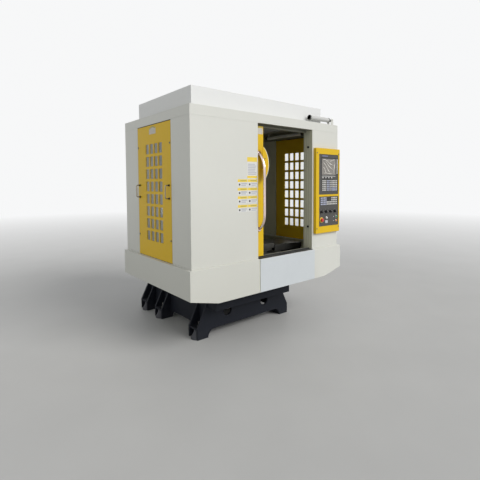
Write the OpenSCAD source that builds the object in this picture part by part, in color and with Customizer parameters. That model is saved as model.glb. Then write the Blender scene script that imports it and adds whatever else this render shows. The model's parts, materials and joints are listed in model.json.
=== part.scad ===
// Small vertical machining centre, C-frame, three axes, full enclosure with one sliding door.
// Origin: floor level, midway between the four corner levelling holes. +X right, +Y back, +Z up.

/* [Bed] */
// Half width of the bed body under the chip pan
bed_half_w = 484; // [470:1:495]
// Half width over the feet
foot_half_w = 600; // [580:1:620]
// Front face of the front beam, forward of the origin
bed_front = 594; // [590:1:600]
// Rear face of the bed behind the origin
bed_back = 631; // [620:1:640]
// Height of the flange that carries the chip pan
bed_flange_z = 447; // [440:1:455]
// Height of the Y way seats
way_z = 600; // [590:1:610]
// Casting wall
bed_wall = 20; // [16:1:24]
// Radius of the lifting holes
lift_r = 50; // [40:1:55]
// Half spacing of the lifting holes
lift_x = 245; // [200:1:280]
// Radius of the levelling holes
level_r = 13; // [8:1:16]
// Levelling hole centres either side of the middle
level_x = 540; // [530:1:550]
// Corner levelling holes in front of and behind the origin
level_y = 532; // [528:1:536]

/* [Axes] */
// Spindle axis, forward of the origin
spindle_y = 300; // [290:1:310]
// Table centre at rest, forward of the origin
table_y = 470; // [460:1:480]
// Table length
table_l = 650; // [600:1:660]
// Table width
table_w = 400; // [380:1:420]
// Table thickness
table_t = 76; // [70:1:80]
// Saddle half length
saddle_l = 480; // [470:1:490]
// Saddle thickness
saddle_t = 70; // [65:1:75]
// Width of a linear rail
rail_w = 28; // [24:1:32]
// Rail height
rail_h = 26; // [22:1:28]
// Height from a rail's seat to its carriage's top
guide_h = 42; // [40:1:46]
// Ball screw radius
screw_r = 16; // [12:1:18]
// Running clearance round a screw or spindle
run_gap = 0.05; // [0.02:0.01:0.09]
// Spindle nose height at rest
nose_z = 1230; // [1220:1:1240]

/* [Enclosure] */
// Left wall, from the middle of the bed
cab_left = 864; // [860:1:880]
// Right wall, from the middle of the bed
cab_right = 1057; // [1050:1:1070]
// Front face, forward of the origin
cab_front = 930; // [925:1:940]
// Back face behind the origin
cab_back = 358; // [350:1:370]
// Underside of the wall panels
cab_z = 765; // [760:1:770]
// Seam under the roof cover
seam_z = 2016; // [2005:1:2025]
// Top of the roof cover
roof_z = 2100; // [2080:1:2120]
// Height of the raised hood
hood_h = 172; // [150:1:190]
// Sheet thickness
sheet = 3; // [2:0.5:4]
// Left edge of the door opening
open_left = 140; // [135:1:150]
// Right edge of the door opening
open_right = 626; // [615:1:635]
// Depth of the right front column
jamb_d = 117; // [110:1:125]
// Front edge of the side access panels
side_front = 623; // [615:1:630]
// Rear edge of the side access panels
side_back = 50; // [45:1:60]

/* [Chip pan] */
// Overhang of the pan past the walls
pan_out = 23; // [18:1:28]
// Overhang of the pan at the front
pan_out_front = 17; // [14:1:20]
// Outer edge height of the sloped floor
pan_edge_z = 512; // [500:1:525]
// Width of the sloped part of the floor
pan_slope_w = 280; // [250:1:300]

/* [Door] */
// Width of the leaf
leaf_w = 780; // [760:1:790]
// Thickness of the leaf
leaf_t = 40; // [36:1:44]
// Leading edge of the leaf at rest, left of the middle
leaf_lead = 46; // [40:1:50]
// Gap from the front face to the leaf
leaf_gap = 30; // [26:1:34]
// Radius of the handle tube
grip_r = 12.5; // [10:0.5:14]

/* [Controls] */
// Left edge of the control box
ctl_left = 651; // [648:1:660]
// Underside of the control box
ctl_z = 925; // [915:1:935]
// Height of the control box
ctl_h = 906; // [890:1:920]
// How far it stands out of the front face
ctl_out = 32; // [28:1:36]

/* [Side windows] */
// Columns of windows in a side panel
win_cols = 4; // [3:1:4]
// Rows of windows in a side panel
win_rows = 8; // [6:1:8]
// Width of a window
win_w = 64; // [50:1:70]
// Height of a window
win_h = 91; // [80:1:96]
// Window spacing along the panel
win_dy = 88; // [82:1:92]
// Window spacing up the panel
win_dz = 117; // [108:1:118]

/* [Hidden] */
$fn = 48;

// Colours
cast_dark = "#23272d";
cast_pale = "#c9cbc6";
panel_white = "#e4e3dc";
panel_yellow = "#f2cb2e";
steel = "#9a9da0";
dark_steel = "#3c3f40";
black = "#1b1b1d";
motor_grey = "#2c2e31";

// Guides and table stack, from the bed's seats upward
saddle_z = way_z + guide_h;
x_seat_z = saddle_z + saddle_t;
table_z = x_seat_z + guide_h;
table_top = table_z + table_t;
y_rail_x = 200;
x_rail_y = 130;
table_car_x = 170;
saddle_car_y = 135;
car_l = 110;
car_w = 90;
car_gap = 6;
fit = 0.3;
trough_half = 85;
y_screw_z = way_z - 25;
y_block_z = way_z - 66;
x_screw_z = x_seat_z + 4;
flange_t = 22;

// Column
col_half_w = 200;
col_base_half_w = 340;
col_front = 130;
col_back = 480;
col_base_top = 870;
col_top = 1880;
arch_half_w = 262;
arch_top = 800;
z_rail_x = 130;
z_screw_y = col_front - 34;

// Head
head_half_w = 130;
head_bottom = nose_z + 105;
head_top = head_bottom + 430;
head_front = spindle_y + 110;
head_plate_y = col_front - guide_h;
quill_r = 62;
spindle_r = 35;

// Upper bed
upper_half_w = 300;
upper_front = 700;
ledge_front = 736;
ledge_z = 291;
arch_r = 75;
leg_w = 160;
mid_leg = 117;
legs = [[-bed_front, -bed_front + leg_w], [mid_leg, mid_leg + leg_w], [bed_back - leg_w, bed_back]];
leg_wall = 18;
shelf_z = 105;
hole_y = [-level_y, mid_leg + leg_w / 2, level_y];

// Pan and door
pan_left = cab_left + pan_out;
pan_right = cab_right + pan_out + 19;
pan_front = cab_front + pan_out_front;
pan_back = cab_back + 27;
pan_t = 4;
rim_z = cab_z - 5;
leaf_x0 = -leaf_lead - leaf_w;
leaf_y0 = -cab_front + leaf_gap;
leaf_z0 = cab_z + 12;
leaf_z1 = seam_z - 24;
lip = 26;
lip_in = 12;
edge_gap = 4;

// A box between three ranges
module block(x, y, z)
  translate([x[0], y[0], z[0]]) cube([x[1] - x[0], y[1] - y[0], z[1] - z[0]]);

// A front outline (X, Z) given a depth along +Y
module slab_y(y0, t)
  translate([0, y0 + t, 0]) rotate([90, 0, 0]) linear_extrude(t) children();

// A side outline (Y, Z) given a depth along +X
module slab_x(x0, t)
  translate([x0, 0, 0]) rotate([90, 0, 90]) linear_extrude(t) children();

// A plan outline given a height
module slab_z(z0, t)
  translate([0, 0, z0]) linear_extrude(t) children();

// A rectangle between two ranges, with round corners
module rounded(x, y, r) {
  translate([x[0] + r, y[0]]) square([x[1] - x[0] - 2 * r, y[1] - y[0]]);
  translate([x[0], y[0] + r]) square([x[1] - x[0], y[1] - y[0] - 2 * r]);
  for (px = [x[0] + r, x[1] - r], py = [y[0] + r, y[1] - r])
    translate([px, py]) circle(r);
}

module span(x, y)
  translate([x[0], y[0]]) square([x[1] - x[0], y[1] - y[0]]);

module both_sides() {
  children();
  mirror([1, 0, 0]) children();
}

module rod_x(x0, x1, y, z, r)
  translate([x0, y, z]) rotate([0, 90, 0]) cylinder(r = r, h = x1 - x0);

module rod_y(x, y0, y1, z, r)
  translate([x, y1, z]) rotate([90, 0, 0]) cylinder(r = r, h = y1 - y0);

module rod_z(x, y, z0, z1, r)
  translate([x, y, z0]) cylinder(r = r, h = z1 - z0);

// Outline of a leg gusset on the right side
module gusset()
  polygon([
    [bed_half_w - bed_wall, arch_r], [bed_half_w - 5, arch_r], [bed_half_w - 5, 0],
    [foot_half_w, 0], [foot_half_w, 105], [foot_half_w - 100, 306],
    [bed_half_w, bed_flange_z], [bed_half_w - bed_wall, bed_flange_z]
  ]);

// Concave corner between a foot and the beam above it, at x0 and rising to the left
module arch_corner(x0)
  difference() {
    translate([x0 - arch_r, 0]) square([arch_r + 1, arch_r + 1]);
    translate([x0 - arch_r, 0]) circle(arch_r, $fn = 64);
  }

module end_beam() {
  difference() {
    union() {
      span([-bed_half_w, bed_half_w], [arch_r, bed_flange_z]);
      gusset();
      mirror([1, 0]) gusset();
      arch_corner(bed_half_w - 5);
      mirror([1, 0]) arch_corner(bed_half_w - 5);
    }
    for (s = [-1, 1]) translate([s * lift_x, 212]) circle(lift_r, $fn = 64);
  }
}

// Foot open to the outside, with a round levelling foot at y under its shelf
module foot(leg, y) {
  difference() {
    block([bed_half_w - 5, foot_half_w], leg, [0, shelf_z]);
    block([bed_half_w + 14, foot_half_w + 1], [leg[0] + leg_wall, leg[1] - leg_wall], [-1, shelf_z - 15]);
  }
  translate([level_x, y, 0]) cylinder(r1 = 41, r2 = 27, h = shelf_z - 14);
}

module bed_casting() color(cast_dark)
  difference() {
    union() {
      slab_y(-bed_front, bed_wall) end_beam();
      slab_y(bed_back - bed_wall, bed_wall) end_beam();
      both_sides() {
        for (i = [0:2]) foot(legs[i], hole_y[i]);
        for (y = [legs[0][1] - leg_wall, legs[1][0], legs[1][1] - leg_wall, legs[2][0]])
          slab_y(y, leg_wall) gusset();
        slab_x(bed_half_w - bed_wall, bed_wall) {
          span([-bed_front, bed_back], [arch_r, bed_flange_z]);
          translate([legs[1][0], 0]) arch_corner(0);
          translate([legs[2][0], 0]) arch_corner(0);
          translate([legs[0][1], 0]) mirror([1, 0]) arch_corner(0);
          translate([legs[1][1], 0]) mirror([1, 0]) arch_corner(0);
        }
      }
      for (y = [-200, 173, 400]) slab_y(y, bed_wall) end_web();
      block([-10, 10], [-bed_front, bed_back], [160, bed_flange_z]);
      block([-bed_half_w, bed_half_w], [-bed_front, bed_back],
        [bed_flange_z - flange_t, bed_flange_z]);
      ledge();
      upper_bed();
    }
    both_sides() for (y = hole_y) rod_z(level_x, y, -1, shelf_z + 1, level_r);
    for (s = [-1, 1]) rod_y(s * lift_x, -bed_front - 1, bed_back + 1, 212, lift_r, $fn = 64);
    for (s = [-1, 1]) block([min(s * 105, s * 278), max(s * 105, s * 278)],
      [-upper_front + 30, bed_back - 30], [bed_flange_z - flange_t - 1, way_z - 30]);
  }

module end_web()
  difference() {
    span([-bed_half_w + 1, bed_half_w - 1], [150, bed_flange_z]);
    for (s = [-1, 1]) translate([s * lift_x, 212]) circle(lift_r + 20);
  }

module ledge()
  difference() {
    block([-bed_half_w, bed_half_w], [-ledge_front, -bed_front + 1], [ledge_z, bed_flange_z]);
    for (x = [-bed_half_w + 20, -150, 170])
      block([x, x + 294], [-ledge_front + 18, -bed_front - 6],
        [ledge_z - 1, bed_flange_z - 20]);
  }

module upper_bed()
  difference() {
    union() {
      block([-upper_half_w, upper_half_w], [-upper_front, bed_back], [bed_flange_z - 1, way_z - 8]);
      for (s = [-1, 1])
        block([s * y_rail_x - 34, s * y_rail_x + 34], [-upper_front, col_front], [way_z - 9, way_z]);
      both_sides() block([upper_half_w - 55, col_base_half_w], [col_front, bed_back],
        [bed_flange_z - 1, way_z]);
    }
    block([-trough_half, trough_half], [-upper_front + 20, bed_back + 1], [y_block_z, way_z + 1]);
    block([-trough_half, trough_half], [y_motor_y - 4, bed_back + 1], [y_screw_z - 70, way_z + 1]);
  }

// Column on two legs, with the rear way cover running between them
module column_casting() color(cast_pale) {
  difference() {
    union() {
      slab_y(col_front, bed_back - col_front) difference() {
        polygon([
          [-col_base_half_w, way_z], [col_base_half_w, way_z], [col_base_half_w, col_base_top - 60],
          [col_half_w + 30, col_base_top + 90], [-col_half_w - 30, col_base_top + 90],
          [-col_base_half_w, col_base_top - 60]
        ]);
        span([-arch_half_w, arch_half_w], [way_z - 1, arch_top]);
      }
      block([-col_half_w, col_half_w], [col_front, col_back], [arch_top + 30, col_top]);
      for (s = [-1, 1])
        block([s * z_rail_x - 36, s * z_rail_x + 36], [col_front - 8, col_front + 1],
          [arch_top + 40, col_top]);
    }
    block([-col_half_w + 28, col_half_w - 28], [col_front + 30, col_back - 24],
      [col_base_top + 120, col_top - 60]);
    block([-70, 70], [col_front - 9, col_front + 12], [arch_top + 120, col_top + 1]);
    for (z = [1060, 1330, 1600])
      slab_y(col_back - 40, 50) rounded([-95, 95], [z, z + 190], 40);
    translate([0, bed_back + 1, 0]) rotate([90, 0, 0])
      linear_extrude(bed_back - col_back) span([-400, 400], [col_base_top + 40, col_base_top + 120]);
  }
}

// One rail with a chamfered waist, along X from x0 to x1
module rail(length)
  rotate([90, 0, 90]) linear_extrude(length) polygon([
    [-rail_w / 2, 0], [rail_w / 2, 0], [rail_w / 2, rail_h * 0.45], [rail_w / 2 - 5, rail_h * 0.6],
    [rail_w / 2, rail_h * 0.8], [rail_w / 2 - 2, rail_h], [-rail_w / 2 + 2, rail_h],
    [-rail_w / 2, rail_h * 0.8], [-rail_w / 2 + 5, rail_h * 0.6], [-rail_w / 2, rail_h * 0.45]
  ]);

// Bearing carriage centred on its rail, length along X
module carriage()
  difference() {
    translate([-car_l / 2, -car_w / 2, car_gap]) cube([car_l, car_w, guide_h - car_gap]);
    translate([-car_l / 2 - 1, -rail_w / 2 - 0.5, 0]) cube([car_l + 2, rail_w + 1, rail_h + 0.5]);
    for (s = [-1, 1])
      translate([-car_l / 2 - 1, s * (car_w / 2) - (s > 0 ? 14 : 0), 0]) cube([car_l + 2, 14, 20]);
  }

module fixed_rails() color(steel) {
  for (s = [-1, 1])
    translate([s * y_rail_x, -upper_front + 8, way_z]) rotate([0, 0, 90]) rail(820);
  for (s = [-1, 1])
    translate([s * z_rail_x, col_front - 8, arch_top + 60]) rotate([0, -90, 90]) rail(1000);
}

module x_rails() color(steel)
  for (s = [-1, 1])
    translate([-saddle_l, -table_y + s * x_rail_y, x_seat_z]) rail(2 * saddle_l);

// Servo motor along +Z from its flange, with an encoder cap and connector
module servo(l, w) {
  slab_z(0, 14) rounded([-w / 2, w / 2], [-w / 2, w / 2], 8);
  slab_z(14, l - 64) rounded([-w / 2 + 5, w / 2 - 5], [-w / 2 + 5, w / 2 - 5], 14);
  slab_z(l - 50, 50) rounded([-w / 2 + 10, w / 2 - 10], [-w / 2 + 10, w / 2 - 10], 16);
  translate([w / 2 - 12, -16, l - 46]) cube([26, 32, 34]);
}

module bearing_block(w, h, t, r)
  translate([0, 0, -t / 2]) linear_extrude(t) difference() {
    rounded([-w / 2, w / 2], [-h / 2, h / 2], 6);
    circle(r, $fn = 64);
  }

y_block_front = -upper_front + 45;
y_block_back = 136;
y_motor_y = 200;
z_block_top = col_top - 30;
z_block_low = 960;

module axis_motors() {
  color(motor_grey) translate([0, y_motor_y, y_screw_z]) rotate([-90, 0, 0]) servo(230, 110);
  color(cast_pale) for (y = [[y_block_front - 25, y_block_front + 25], [y_block_back, y_motor_y]])
    difference() {
      block([-60, 60], y, [y_block_z, y_screw_z + 37]);
      rod_y(0, y[0] - 1, y[1] + 1, y_screw_z, screw_r + run_gap, $fn = 64);
    }
  color(motor_grey) translate([0, z_screw_y, col_top + 24]) servo(178, 110);
  color(cast_pale) difference() {
    slab_z(col_top, 24) rounded([-85, 85], [z_screw_y - 62, col_front + 160], 10);
    rod_z(0, z_screw_y, col_top - 1, col_top + 25, 30);
  }
  color(cast_pale) for (z = [z_block_low, z_block_top])
    difference() {
      translate([0, z_screw_y, z])
        bearing_block(100, 2 * (col_front - z_screw_y) + 24, 46, screw_r + run_gap);
      block([-60, 60], [col_front + 12, col_front + 60], [z - 40, z + 40]);
    }
}

module y_screw() color(steel) {
  rod_y(0, y_block_front - 24, y_motor_y - 2, y_screw_z, screw_r);
  rod_y(0, y_block_front + 32, y_block_front + 44, y_screw_z, screw_r + 6);
}

module z_screw() color(steel) {
  rod_z(0, z_screw_y, z_block_low - 30, col_top + 22, screw_r);
  rod_z(0, z_screw_y, z_block_low + 28, z_block_low + 40, screw_r + 6);
}

x_block_x = saddle_l - 17;
x_motor_x = saddle_l + 72;

module x_screw() color(steel) {
  rod_x(-x_block_x - 24, x_motor_x - 2, -table_y, x_screw_z, screw_r);
  rod_x(-x_block_x + 22, -x_block_x + 34, -table_y, x_screw_z, screw_r + 6);
}

module x_motor() {
  color(cast_pale) for (x = [-x_block_x, x_block_x])
    difference() {
      block([x - 17, x + 17], [-table_y - 56, -table_y + 56], [saddle_z + 30, x_screw_z + 30]);
      rod_x(x - 18, x + 18, -table_y, x_screw_z, screw_r + run_gap, $fn = 64);
    }
  color(motor_grey) translate([x_motor_x, -table_y, x_screw_z]) rotate([0, 90, 0]) rotate([0, 0, 180])
    servo(190, 100);
  color(cast_pale) difference() {
    block([saddle_l, x_motor_x], [-table_y - 56, -table_y + 56], [saddle_z + 4, x_screw_z + 34]);
    rod_x(saddle_l - 1, x_motor_x + 1, -table_y, x_screw_z, 30);
  }
}

// A nut flange and body round a screw of radius screw_r, axis along Z
module nut(l)
  difference() {
    union() {
      cylinder(r = screw_r + 12, h = l);
      cylinder(r = screw_r + 22, h = 14);
    }
    translate([0, 0, -1]) cylinder(r = screw_r + run_gap, h = l + 2, $fn = 64);
  }

module saddle() {
  color(cast_pale) difference() {
    union() {
      block([-saddle_l, saddle_l], [-table_y - 175, -table_y + 175], [saddle_z, x_seat_z - 6]);
      for (s = [-1, 1]) block([-saddle_l, saddle_l],
        [-table_y + s * x_rail_y - 32, -table_y + s * x_rail_y + 32], [x_seat_z - 7, x_seat_z]);
      block([-60, 60], [-table_y - 60, -table_y + 60], [y_screw_z - 32, saddle_z + 1]);
    }
    block([-saddle_l - 1, saddle_l + 1], [-table_y - 70, -table_y + 70], [saddle_z + 30, x_seat_z + 1]);
    rod_y(0, -table_y - 61, -table_y + 61, y_screw_z, screw_r + 12);
    for (s = [-1, 1]) for (e = [0, 1]) block(
      [s > 0 ? 270 : -saddle_l + 30, s > 0 ? saddle_l - 30 : -270],
      [-table_y + (e > 0 ? 78 : -158), -table_y + (e > 0 ? 158 : -78)], [saddle_z - 1, x_seat_z - 30]);
  }
  color(steel) for (s = [-1, 1], e = [-1, 1])
    translate([s * y_rail_x, -table_y + e * saddle_car_y, way_z]) rotate([0, 0, 90]) carriage();
  color(steel) translate([0, -table_y + 60, y_screw_z]) rotate([90, 0, 0]) nut(120);
}

slot_w = 14;
slot_pitch = 100;

module t_slot() {
  span([-slot_w / 2, slot_w / 2], [-22, 1]);
  span([-12, 12], [-23, -13]);
}

module table() {
  color(cast_dark) difference() {
    union() {
      block([-table_l / 2, table_l / 2], [-table_y - table_w / 2, -table_y + table_w / 2],
        [table_z + 26, table_top]);
      block([-table_l / 2 + 25, table_l / 2 - 25],
        [-table_y - table_w / 2 + 12, -table_y + table_w / 2 - 12], [table_z, table_z + 27]);
      block([-52, 52], [-table_y - 44, -table_y + 44], [x_screw_z - 30, table_z + 1]);
    }
    for (i = [-1, 0, 1])
      translate([0, -table_y + i * slot_pitch, table_top]) slab_x(-table_l / 2 - 1, table_l + 2) t_slot();
    for (s = [-1, 1])
      block([-table_l / 2 + 12, table_l / 2 - 12],
        [-table_y + s * (table_w / 2 - 14) - 6, -table_y + s * (table_w / 2 - 14) + 6],
        [table_top - 8, table_top + 1]);
    rod_x(-53, 53, -table_y, x_screw_z, screw_r + 12);
  }
  color(steel) for (s = [-1, 1], e = [-1, 1])
    translate([s * table_car_x, -table_y + e * x_rail_y, x_seat_z]) carriage();
  color(steel) translate([-52, -table_y, x_screw_z]) rotate([0, 90, 0]) nut(104);
}

// Head casting: a plate on the Z carriages and a box that tapers forward to the spindle
module spindle_head() {
  color(cast_pale) difference() {
    union() {
      slab_x(-head_half_w, 2 * head_half_w) polygon([
        [head_plate_y, head_bottom], [head_plate_y, head_top], [-spindle_y + 90, head_top],
        [-spindle_y - 40, head_top - 60], [-head_front, head_top - 150], [-head_front, head_bottom + 20],
        [-head_front + 20, head_bottom]
      ]);
      block([-175, 175], [head_plate_y - 30, head_plate_y], [head_bottom, head_top]);
      rod_z(0, -spindle_y, head_bottom - 12, head_bottom + 1, quill_r + 30);
      block([-100, 100], [-spindle_y - 100, -spindle_y + 100], [head_top - 150, head_top]);
    }
    rod_z(0, -spindle_y, head_bottom - 13, head_top + 1, quill_r + 0.1, $fn = 96);
    block([-98, 98], [-spindle_y + 110, head_plate_y - 56], [head_bottom + 40, head_top + 1]);
    block([-62, 62], [head_plate_y - 46, head_plate_y + 1], [head_bottom - 1, head_top + 1]);
  }
  color(steel) for (s = [-1, 1], z = [head_bottom + 60, head_top - 60])
    translate([s * z_rail_x, col_front - 8, z]) rotate([0, -90, 90]) head_carriage();
  color(steel) translate([0, z_screw_y, head_bottom + 110]) nut(120);
  color(cast_pale) difference() {
    block([-62, 62], [head_plate_y - 46, col_front - 14], [head_bottom + 124, head_bottom + 170]);
    rod_z(0, z_screw_y, head_bottom + 123, head_bottom + 171, screw_r + 12);
  }
}

// The carriage plate stands on the pads, so its height is measured from them
module head_carriage()
  difference() {
    translate([-car_l / 2, -car_w / 2, car_gap]) cube([car_l, car_w, guide_h - 8 - car_gap]);
    translate([-car_l / 2 - 1, -rail_w / 2 - 0.5, 0]) cube([car_l + 2, rail_w + 1, rail_h + 0.5]);
  }

motor_z = head_top + 60;

module spindle_motor() {
  color(motor_grey) translate([0, -spindle_y, motor_z]) servo(250, 150);
  color(cast_pale) difference() {
    slab_z(head_top, 60) rounded([-80, 80], [-spindle_y - 80, -spindle_y + 80], 10);
    slab_z(head_top - 1, 62) rounded([-60, 60], [-spindle_y - 60, -spindle_y + 60], 10);
    block([-90, 90], [-spindle_y - 40, -spindle_y + 40], [head_top + 12, head_top + 48]);
  }
}

module spindle_housing() color(steel)
  difference() {
    union() {
      rod_z(0, -spindle_y, nose_z + 14, head_top - 40, quill_r, $fn = 96);
      rod_z(0, -spindle_y, head_bottom - 34, head_bottom - 12, quill_r + 26);
      rod_z(0, -spindle_y, nose_z + 8, nose_z + 14, quill_r - 8);
    }
    rod_z(0, -spindle_y, nose_z, head_top, spindle_r + run_gap, $fn = 96);
  }

taper_r = 15.875;
taper_l = 48;

module spindle() color(steel)
  difference() {
    union() {
      rod_z(0, -spindle_y, nose_z, motor_z - 20, spindle_r - 8, $fn = 64);
      rod_z(0, -spindle_y, head_top + 6, motor_z - fit, spindle_r - 3, $fn = 64);
      rod_z(0, -spindle_y, nose_z, head_top - 60, spindle_r, $fn = 96);
      for (s = [-1, 1])
        block([s * 24 - 8, s * 24 + 8], [-spindle_y - 8, -spindle_y + 8], [nose_z - 8, nose_z + 1]);
    }
    translate([0, -spindle_y, nose_z - 0.01])
      cylinder(r1 = taper_r, r2 = taper_r - taper_l * 7 / 48, h = taper_l, $fn = 64);
    rod_z(0, -spindle_y, nose_z + taper_l - 1, head_top - 100, 8, $fn = 48);
    translate([0, -spindle_y, nose_z - 9]) cylinder(r = taper_r, h = 9.1, $fn = 64);
  }

// Telescopic cover: a roof plate with two side skirts, nested under the one above by cover_step
cover_end = 765;
cover_len = 180;
cover_step = 5;
wiper_l = 8;
wiper_t = 2.7;
cover_t = 2;
cover_half = table_w / 2 + 8;
cover_top = table_top - 22;
x_covers = 4;

module x_segment(k, x_out) {
  top = cover_top - k * cover_step;
  half = cover_half - k * cover_step;
  if (k > 0)
    block([x_out - cover_len, x_out - cover_len + wiper_l], [-table_y - half, -table_y + half],
      [top - cover_t, top + wiper_t]);
  difference() {
    block([x_out - cover_len, x_out], [-table_y - half, -table_y + half], [y_cover_top + 4, top]);
    block([x_out - cover_len - 1, x_out + 1], [-table_y - half + cover_t, -table_y + half - cover_t],
      [y_cover_top + 3, top - cover_t]);
  }
}

// Outer edges at rest: the first is carried by the table and the last by the saddle
x_first = table_l / 2 + cover_len;
x_pitch = (cover_end - x_first) / (x_covers - 1);

module x_cover(k) both_sides() x_segment(k, x_first + k * x_pitch);

module x_cover_inner() color(dark_steel) {
  x_cover(0);
  both_sides() block([table_l / 2, table_l / 2 + 3],
    [-table_y - table_w / 2 + 20, -table_y + table_w / 2 - 20], [cover_top - 30, cover_top - cover_t]);
}
module x_cover_second() color(dark_steel) x_cover(1);
module x_cover_third() color(dark_steel) x_cover(2);

y_cover_len = 225;
y_cover_top = x_seat_z + 22;
y_cover_half = 330;
y_cover_end = cab_front - 5;
saddle_front = table_y + 175;

module y_segment(k, y_front, length) {
  top = y_cover_top - k * cover_step;
  half = y_cover_half - k * cover_step;
  if (k > 0)
    block([-half, half], [-y_front + length - wiper_l, -y_front + length],
      [top - cover_t, top + wiper_t]);
  difference() {
    block([-half, half], [-y_front, -y_front + length], [way_z - 10, top]);
    block([-half + cover_t, half - cover_t], [-y_front - 1, -y_front + length + 1],
      [way_z - 11, top - cover_t]);
  }
}

y_first = saddle_front + y_cover_len;
y_pitch = (y_cover_end - y_first) / 2;

module saddle_covers() color(dark_steel) {
  x_cover(3);
  both_sides() difference() {
    block([saddle_l, cover_end], [-table_y - 120, -table_y + 120], [saddle_z + 8, saddle_z + 12]);
    block([saddle_l - 1, cover_end - 30], [-table_y - 60, -table_y + 60], [saddle_z, saddle_z + 20]);
  }
  both_sides() block([cover_end - cover_t - 2, cover_end - cover_t], [-table_y - 180, -table_y + 180],
    [saddle_z + 12, cover_top - 3 * cover_step - cover_t]);
  y_segment(0, y_first, y_cover_len);
  rear_wing();
}

// Flat rear wing that runs back between the column's legs
wing_l = 440;
wing_half = 250;
module rear_wing() {
  y0 = -table_y + 175;
  block([-wing_half, wing_half], [y0, y0 + wing_l], [saddle_z + 20, saddle_z + 23]);
  for (s = [-1, 1])
    block([s * (wing_half - 1.5) - 1.5, s * (wing_half - 1.5) + 1.5], [y0, y0 + wing_l],
      [saddle_z - 4, saddle_z + 21]);
}

module y_cover_second() color(dark_steel) y_segment(1, y_first + y_pitch, y_cover_len);

module fixed_way_covers() color(dark_steel) {
  y_segment(2, y_first + 2 * y_pitch, y_cover_len);
  block([-arch_half_w + 1, arch_half_w - 1], [col_front - 3, col_front], [saddle_z + 25, arch_top + 30]);
  half = y_cover_half - 2 * cover_step - cover_t;
  block([-half, half], [-y_cover_end, -y_cover_end + 3],
    [way_z - 10, y_cover_top - 2 * cover_step - cover_t]);
  for (s = [-1, 1])
    block([s * 250 - 15, s * 250 + 15], [-y_cover_end, -y_cover_end + 20],
      [bed_flange_z + pan_t, way_z - 10]);
}

// Tool magazine, left of the head
mag_x = 520;
mag_travel = 290;
mag_pcd_r = 230;
mag_count = 16;
mag_plate_z = 1500;
disc_z = nose_z - 28;
mag_back = cab_back - 13;

module magazine_bracket() {
  color(cast_pale) difference() {
    union() {
      slab_z(mag_plate_z, 20) polygon([
        [-mag_x - 120, -spindle_y - 110], [-165, -spindle_y - 110], [-165, col_front - 110],
        [-col_half_w - 5, col_front - 80], [-col_half_w - 1, col_front + 40], [-col_half_w - 1, mag_back],
        [-col_half_w - 40, mag_back], [-mag_x - 120, -spindle_y + 160]
      ]);
      block([-col_half_w - 18, -col_half_w], [col_front + 10, mag_back],
        [mag_plate_z - 220, mag_plate_z + 60]);
      slab_x(-col_half_w - 118, 14) polygon([
        [-spindle_y + 200, mag_plate_z + 1], [col_front + 170, mag_plate_z + 1],
        [col_front + 170, mag_plate_z - 120]
      ]);
      block([-col_half_w - 118, -col_half_w - 17], [col_front + 156, col_front + 170],
        [mag_plate_z - 120, mag_plate_z + 1]);
    }
    slab_z(mag_plate_z - 1, 22)
      rounded([-mag_x - 64, -mag_x + mag_travel + 56], [-spindle_y - 58, -spindle_y + 58], 12);
  }
  color(steel) for (s = [-1, 1])
    translate([-mag_x - 110, -spindle_y + s * 84, mag_plate_z]) mirror([0, 0, 1])
      rail(mag_travel + 172);
}

module magazine_carriage() {
  color(cast_pale) slab_z(mag_plate_z - guide_h - 14, 14)
    rounded([-mag_x - 62, -mag_x + 62], [-spindle_y - 126, -spindle_y + 126], 8);
  color(steel) for (s = [-1, 1])
    translate([-mag_x, -spindle_y + s * 84, mag_plate_z]) mirror([0, 0, 1]) carriage();
  color(cast_pale) difference() {
    rod_z(-mag_x, -spindle_y, disc_z + 60, mag_plate_z - guide_h - 14, 60);
    rod_z(-mag_x, -spindle_y, disc_z + 59, disc_z + 140, 22 + run_gap, $fn = 64);
  }
  color(motor_grey) translate([-mag_x, -spindle_y, mag_plate_z - guide_h]) rotate([0, 0, 90]) servo(190, 90);
}

grip_half = 19 + fit;
disc_t = 12;

// The disc with its spring forks, each two fingers round a tool's groove
module disc_outline()
  difference() {
    union() {
      circle(mag_pcd_r - 22, $fn = 96);
      for (i = [0 : mag_count - 1]) rotate(i * 360 / mag_count)
        translate([mag_pcd_r - 44, -33]) square([56, 66]);
    }
    for (i = [0 : mag_count - 1]) rotate(i * 360 / mag_count) {
      translate([mag_pcd_r, 0]) circle(grip_half, $fn = 64);
      translate([mag_pcd_r, -grip_half + 3]) square([40, 2 * grip_half - 6]);
    }
    for (i = [0 : mag_count / 2 - 1]) rotate((i + 0.5) * 720 / mag_count)
      translate([140, 0]) circle(30);
  }

module magazine_disc() color(steel) translate([-mag_x, -spindle_y, disc_z]) {
  translate([0, 0, -disc_t / 2]) linear_extrude(disc_t) disc_outline();
  rod_z(0, 0, disc_t / 2 - 1, 58, 46);
  rod_z(0, 0, 50, 136, 22, $fn = 64);
}

// Tools hang in every pocket but the one that faces the spindle
module tool_holders()
  translate([-mag_x, -spindle_y, disc_z]) for (i = [1 : mag_count - 1])
    rotate([0, 0, i * 360 / mag_count]) translate([mag_pcd_r, 0, 0]) tool(i);

tool_kinds = 3;
chuck_l = 62;
module tool(i) {
  kind = i % tool_kinds;
  color(steel) {
    rotate_extrude() polygon([
      [0, -22], [23, -22], [23, -6.3], [19, -6.3], [19, 6.3], [23, 6.3], [23, 12], [15.8, 12],
      [8.9, 59], [5, 59], [5, 80], [0, 80]
    ]);
    translate([0, 0, -chuck_l - kind * 8]) cylinder(r = kind == 0 ? 20 : 15, h = chuck_l - 21 + kind * 8);
  }
  color(dark_steel) translate([0, 0, -chuck_l - kind * 8 - 60])
    cylinder(r = kind == 0 ? 8 : 4 + kind, h = 61);
}

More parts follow.
